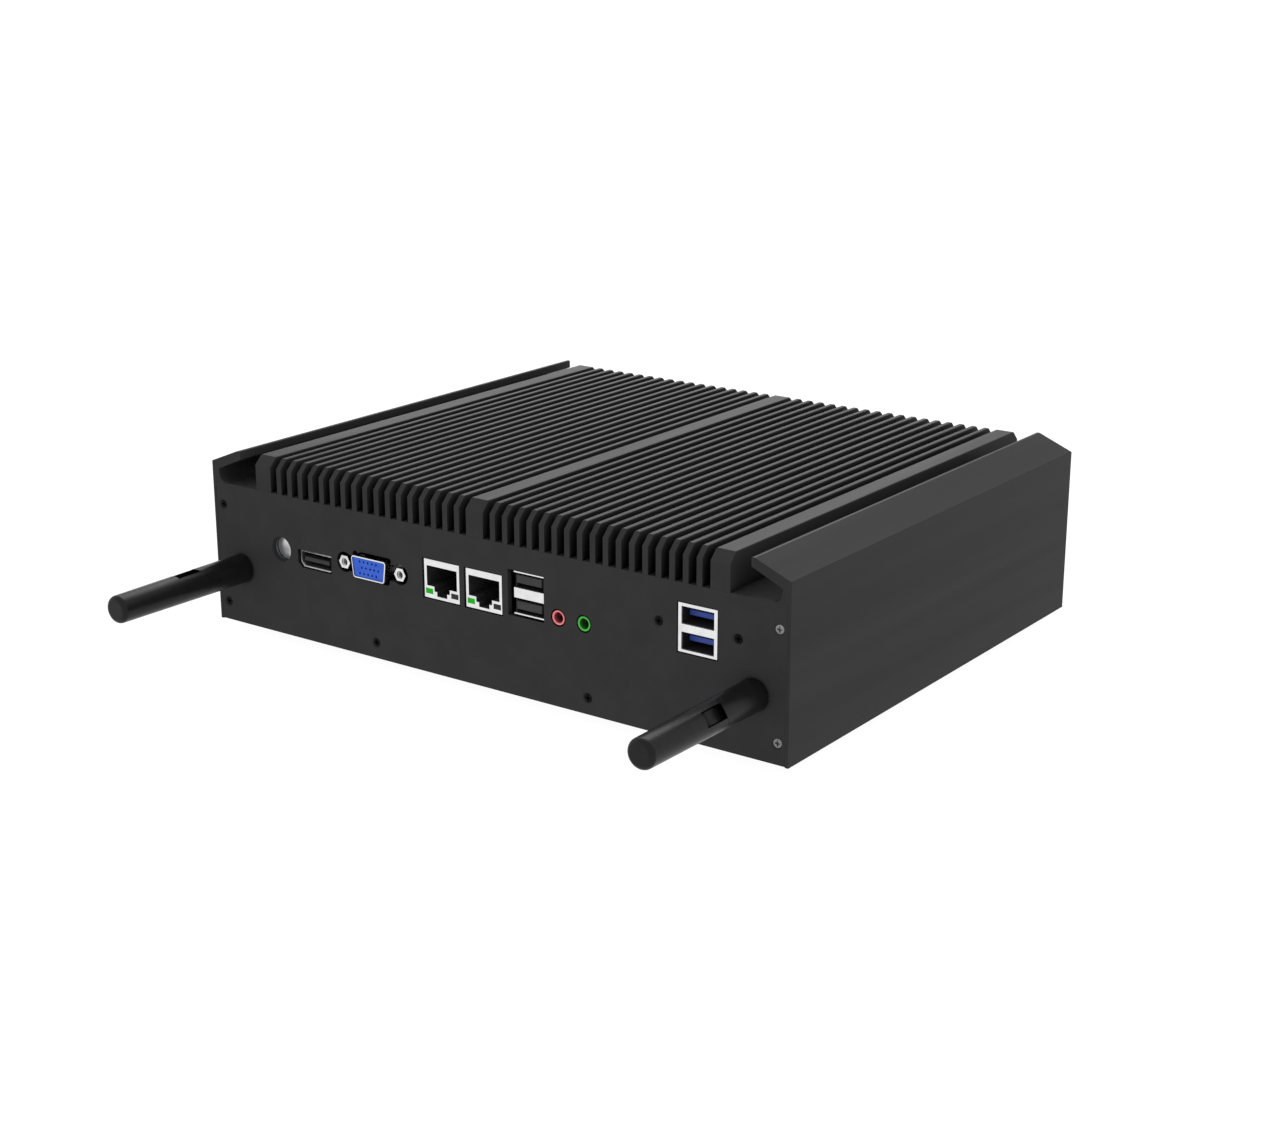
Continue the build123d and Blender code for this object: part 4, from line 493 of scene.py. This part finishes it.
# ---------------------------------------------------------------- fine detail
# Where the connectors and the parts on the board are, in millimetres, from the part's own dimensions.
D_SUB_X, D_SUB_Z = -45.45, up(31.95)
D_SUB_COLUMN, D_SUB_ROW = 1.85, 2.05
POST_OFFSET = 12.5
POST_BORE, POST_CREST, POST_PITCH = 1.3, 1.1, 0.64
POST_THREAD_START = 93.75
SERIAL_XS = (18.0, 62.0)
REAR_PORT_Z = up(28.0)
INLET_X = -78.0
VIDEO_X, VIDEO_UNDERSIDE = -71.7, up(28.77)
JACK_XS, JACK_ROOF = (-14.85, 3.1), up(37.1)
USB2_X, USB2_Z, USB2_OFFSET = 21.7, up(35.15), 4.225
USB3_X, USB3_ZS = 86.9, (up(32.3), up(40.5))
USB_CONTACT_XS = (-3.5, -1.0, 1.0, 3.5)
AUDIO_XS, AUDIO_Z, AUDIO_RADIUS = (33.8, 43.95), up(30.15), 1.62
BOARD_TOP = up(26.1)
REGULATOR_YS = (-51.0, -42.0, -33.0)
CAPACITOR_X, CHOKE_X = -75.5, -67.4
# Middle and length of each pin header, and the line that both stand on.
HEADERS, HEADER_Y = ((-55.0, 22.0), (-31.0, 16.0)), 5.0
HEADER_PITCH = 2.0
MEMORY_X, MEMORY_Y, MEMORY_PITCH = 18.5, -36.0, 15.5
DRIVE_TOP = 17.1
FOOT_SPOTS = [(x, y) for x in (-94.0, 94.0) for y in (-70.0, 70.0)]


def d_sub_sleeves(mesh):
    """Three rows of five contact sleeves, the middle row set half a hole to the right."""
    sleeve = [(0.24, 0.12), (0.24, 3.4), (0.4, 3.4), (0.4, 0.0), (0.3, 0.0)]
    for row, shift in ((-1, -0.5), (0, 0.5), (1, -0.5)):
        for column in range(-2, 3):
            place = (D_SUB_X + shift + column * D_SUB_COLUMN, -94.1, D_SUB_Z + row * D_SUB_ROW)
            turned(mesh, sleeve, place, (0, 1, 0), 16)


def d_sub_tab(mesh):
    """The shell's ground tab, on top of it at the left."""
    block(mesh, (D_SUB_X - 5.6, -91.2, D_SUB_Z + 4.55), (2.4, 2.6, 0.7), 0.12)


def video_contacts(mesh):
    """Ten contacts on the underside of the digital video socket's tongue."""
    for column in range(-4, 6):
        block(mesh, (VIDEO_X + (column - 0.5) * 1.1, -88.6, VIDEO_UNDERSIDE), (0.45, 7.0, 0.08), 0.02)


def usb2_contacts(mesh):
    """Four contacts under each tongue."""
    for side, offset in ((-1, 0.1), (1, 0.43)):
        under = USB2_Z + side * USB2_OFFSET + offset - 1.4
        for x in USB_CONTACT_XS:
            block(mesh, (USB2_X + x, -88.0, under), (1.1, 9.5, 0.16), 0.05)


def usb3_contacts(mesh):
    """Four flat contacts and five sprung ones behind them, under each tongue."""
    for middle in USB3_ZS:
        under = middle - 0.95
        for x in USB_CONTACT_XS:
            block(mesh, (USB3_X + x, -86.4, under), (1.1, 5.6, 0.14), 0.05)
        for x in (-4.0, -2.0, 0.0, 2.0, 4.0):
            block(mesh, (USB3_X + x, -82.4, under - 0.05), (0.7, 1.6, 0.26), 0.08)


def jack_combs(mesh):
    """The ribs between the contacts, along the roof of each network jack."""
    for jack_x in JACK_XS:
        for rib in range(-4, 5):
            block(mesh, (jack_x + rib * 1.02, -84.5, JACK_ROOF), (0.3, 10.0, 0.55), 0.04)


def post_threads(mesh):
    """The inside threads of every hexagon post, front and rear."""
    for x in (D_SUB_X - POST_OFFSET, D_SUB_X + POST_OFFSET):
        start = (x, -POST_THREAD_START, D_SUB_Z)
        helix(mesh, start, (0, 1, 0), POST_BORE, POST_CREST, POST_PITCH, 3.0)
    for middle in SERIAL_XS:
        for x in (middle - POST_OFFSET, middle + POST_OFFSET):
            start = (x, POST_THREAD_START, REAR_PORT_Z)
            helix(mesh, start, (0, -1, 0), POST_BORE, POST_CREST, POST_PITCH, 3.0)


def audio_springs(mesh):
    """Two contact springs in each audio jack's bore, the left one longer."""
    for x in AUDIO_XS:
        block(mesh, (x - AUDIO_RADIUS, -87.5, AUDIO_Z), (0.2, 7.0, 1.0), 0.05)
        block(mesh, (x + AUDIO_RADIUS, -85.5, AUDIO_Z), (0.2, 5.0, 1.0), 0.05)


def inlet_spring(mesh):
    """The power inlet's sleeve spring and the rounded end of its pin."""
    block(mesh, (INLET_X, 88.5, REAR_PORT_Z - 2.65), (1.8, 8.0, 0.3), 0.1)
    pin_end = [(1.08, 0.0), (1.08, 1.2), (0.75, 1.5), (0.0, 1.5), (0.0, 0.0)]
    turned(mesh, pin_end, (INLET_X, 91.7, REAR_PORT_Z), (0, 1, 0), 20)


def capacitor_cans(mesh):
    """Three cans with a crimped waist, a sunk top and the cross pressed into it."""
    profile = [(0.0, 0.0), (3.3, 0.0), (3.3, 0.9), (3.12, 1.15), (3.3, 1.4), (3.3, 8.3), (3.0, 8.66)]
    profile += [(2.6, 8.66), (2.5, 8.54), (0.0, 8.54)]
    for y in REGULATOR_YS:
        turned(mesh, profile, (CAPACITOR_X, y, BOARD_TOP), (0, 0, 1), 32)
        for size in ((3.6, 0.25, 0.06), (0.25, 3.6, 0.06)):
            block(mesh, (CAPACITOR_X, y, BOARD_TOP + 8.57), size)


def choke_coils(mesh):
    """Three moulded chokes, each with a solder tab at both ends."""
    for y in REGULATOR_YS:
        block(mesh, (CHOKE_X, y, BOARD_TOP + 2.02), (7.06, 7.06, 4.06), 0.5)
        for side in (-1, 1):
            block(mesh, (CHOKE_X, y + side * 3.5, BOARD_TOP + 0.5), (3.0, 0.5, 0.9), 0.08)


def header_shrouds(mesh):
    """Four walls around each pin header."""
    middle = BOARD_TOP + 4.26
    for x, length in HEADERS:
        for side in (-1, 1):
            block(mesh, (x, HEADER_Y + side * 2.25, middle), (length + 0.06, 0.6, 8.52), 0.08)
            block(mesh, (x + side * (length / 2 - 0.3), HEADER_Y, middle), (0.7, 4.4, 8.52), 0.08)


def header_pins(mesh):
    """The tips of two rows of pins in each header."""
    for x, length in HEADERS:
        count = int((length - 2) / HEADER_PITCH)
        for pin in range(count):
            for row in (-1, 1):
                place = (x + (pin - (count - 1) / 2) * HEADER_PITCH, HEADER_Y + row, BOARD_TOP + 8.65)
                block(mesh, place, (0.5, 0.5, 0.6), 0.1)


def memory_chips(mesh):
    """Four chips in a row on the memory module."""
    for column in (-1.5, -0.5, 0.5, 1.5):
        place = (MEMORY_X + column * MEMORY_PITCH, MEMORY_Y, BOARD_TOP + 3.36)
        block(mesh, place, (12.06, 13.06, 0.94), 0.12)


def radio_shield(mesh):
    """The wireless card's shield can and the collars of its two antenna plugs."""
    block(mesh, (34.0, 0.0, BOARD_TOP + 3.77), (16.08, 16.08, 1.54), 0.2)
    collar = [(1.03, 0.0), (1.03, 1.53), (0.6, 1.53), (0.6, 1.2), (0.0, 1.2), (0.0, 0.0)]
    for y in (-6.0, 6.0):
        turned(mesh, collar, (20.0, y, BOARD_TOP + 3.0), (0, 0, 1), 20)


def drive_plate(mesh):
    """The storage drive's cover plate with a screw at each corner."""
    block(mesh, (0.0, 44.0, DRIVE_TOP + 0.04), (94.0, 62.0, 0.2), 0.08)
    screw = [(0.0, 0.0), (1.8, 0.0), (1.8, 0.25), (1.4, 0.42), (0.0, 0.42)]
    for x in (-44.0, 44.0):
        for y in (16.0, 72.0):
            turned(mesh, screw, (x, y, DRIVE_TOP), (0, 0, 1), 20)


def foot_moulding(mesh):
    """Four rubber feet with grooved treads and a recess for their screws."""
    profile = [(0.0, 1.9), (3.1, 1.9), (3.1, 0.25), (3.35, 0.0), (3.9, 0.0), (4.05, 0.18), (4.2, 0.0)]
    profile += [(4.6, 0.0), (4.75, 0.18), (4.9, 0.0), (5.6, 0.0), (6.0, 0.1), (6.4, 0.35), (6.66, 0.7)]
    profile += [(6.8, 1.1), (7.4, 3.64), (0.0, 3.64)]
    for x, y in FOOT_SPOTS:
        turned(mesh, profile, (x, y, 0.0), (0, 0, 1), 48)


def foot_screws(mesh):
    """A dished screw head in each foot's recess."""
    profile = [(0.0, 0.95), (0.5, 0.95), (0.75, 0.62), (1.9, 0.72), (2.5, 1.2), (2.6, 1.89), (0.0, 1.89)]
    for x, y in FOOT_SPOTS:
        turned(mesh, profile, (x, y, 0.0), (0, 0, 1), 32)


# Name, finish and builder of each detail piece.
DETAILS = (
    ("d_sub_contact_sleeves", "contact_gold", d_sub_sleeves),
    ("d_sub_ground_tab", "plated_metal", d_sub_tab),
    ("video_port_contacts", "contact_gold", video_contacts),
    ("usb2_contacts", "contact_gold", usb2_contacts),
    ("usb3_contacts", "contact_gold", usb3_contacts),
    ("network_jack_combs", "connector_black", jack_combs),
    ("post_threads", "plated_metal", post_threads),
    ("audio_contact_springs", "contact_gold", audio_springs),
    ("power_inlet_spring", "contact_gold", inlet_spring),
    ("capacitor_cans", "bare_aluminium", capacitor_cans),
    ("choke_coils", "chip_black", choke_coils),
    ("header_shrouds", "connector_black", header_shrouds),
    ("header_pins", "contact_gold", header_pins),
    ("memory_chips", "chip_black", memory_chips),
    ("radio_shield", "steel_plate", radio_shield),
    ("drive_cover_plate", "steel_plate", drive_plate),
    ("foot_screws", "screw_black", foot_screws),
)


# ---------------------------------------------------------------- stage
def make_floor():
    """The white sweep that the object stands on, bright enough to meet the sky without an edge."""
    mesh = bmesh.new()
    bmesh.ops.create_grid(mesh, x_segments=4, y_segments=4, size=FLOOR_SIZE / 2)
    data = bpy.data.meshes.new("floor")
    mesh.to_mesh(data)
    mesh.free()
    floor = bpy.data.objects.new("floor", data)
    bpy.context.scene.collection.objects.link(floor)
    finish = Finish("floor_white")
    tone = finish.ramp(finish.noise(0.4), (0.3, grey(96)), (0.7, grey(99)))
    finish.set(Base_Color=tone, Roughness=1.0, Specular_IOR_Level=0.0)
    finish.set(Emission_Color=(1.0, 1.0, 1.0, 1.0), Emission_Strength=FLOOR_GLOW)
    data.materials.append(finish.material)


def soft_light(name, place, aim, size, watts):
    """A large square area light that faces a point."""
    light = bpy.data.lights.new(name, "AREA")
    light.size = size
    light.energy = watts
    lamp = bpy.data.objects.new(name, light)
    lamp.location = place
    lamp.rotation_euler = (Vector(aim) - Vector(place)).to_track_quat("-Z", "Y").to_euler()
    bpy.context.scene.collection.objects.link(lamp)


def make_sky():
    """An even white sky."""
    world = bpy.data.worlds.new("sky")
    world.use_nodes = True
    background = world.node_tree.nodes["Background"]
    background.inputs["Color"].default_value = (1.0, 1.0, 1.0, 1.0)
    background.inputs["Strength"].default_value = SKY_STRENGTH
    bpy.context.scene.world = world


def make_camera():
    """The photograph's camera, solved from the housing's corners and straight edges."""
    lens = bpy.data.cameras.new("camera")
    lens.lens = CAMERA_LENS
    lens.sensor_width = SENSOR_WIDTH
    lens.sensor_fit = "HORIZONTAL"
    lens.clip_start = 0.01
    camera = bpy.data.objects.new("camera", lens)
    camera.location = CAMERA_PLACE
    camera.rotation_euler = (math.radians(90 - CAMERA_ELEVATION), 0, math.radians(CAMERA_AZIMUTH))
    bpy.context.scene.collection.objects.link(camera)
    bpy.context.scene.camera = camera


# ---------------------------------------------------------------- the scene
make_camera()
make_finishes()
for node, width in EDGE_BREAKS.items():
    edge_broken(node, width)
# The button's spring, which shortens towards the end that stands on the bottom of its barrel, gets a mesh of
# its own here.
coil = edge_broken("button_spring", 0.03 * MM)
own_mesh(coil)
for name, slot, build in DETAILS:
    detail(name, slot, build)
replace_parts(detail("foot_mouldings", "foot_rubber", foot_moulding), "rubber_feet")
make_floor()
make_sky()
for light_values in SOFT_LIGHTS:
    soft_light(*light_values)
bpy.context.scene.view_settings.view_transform = "Standard"
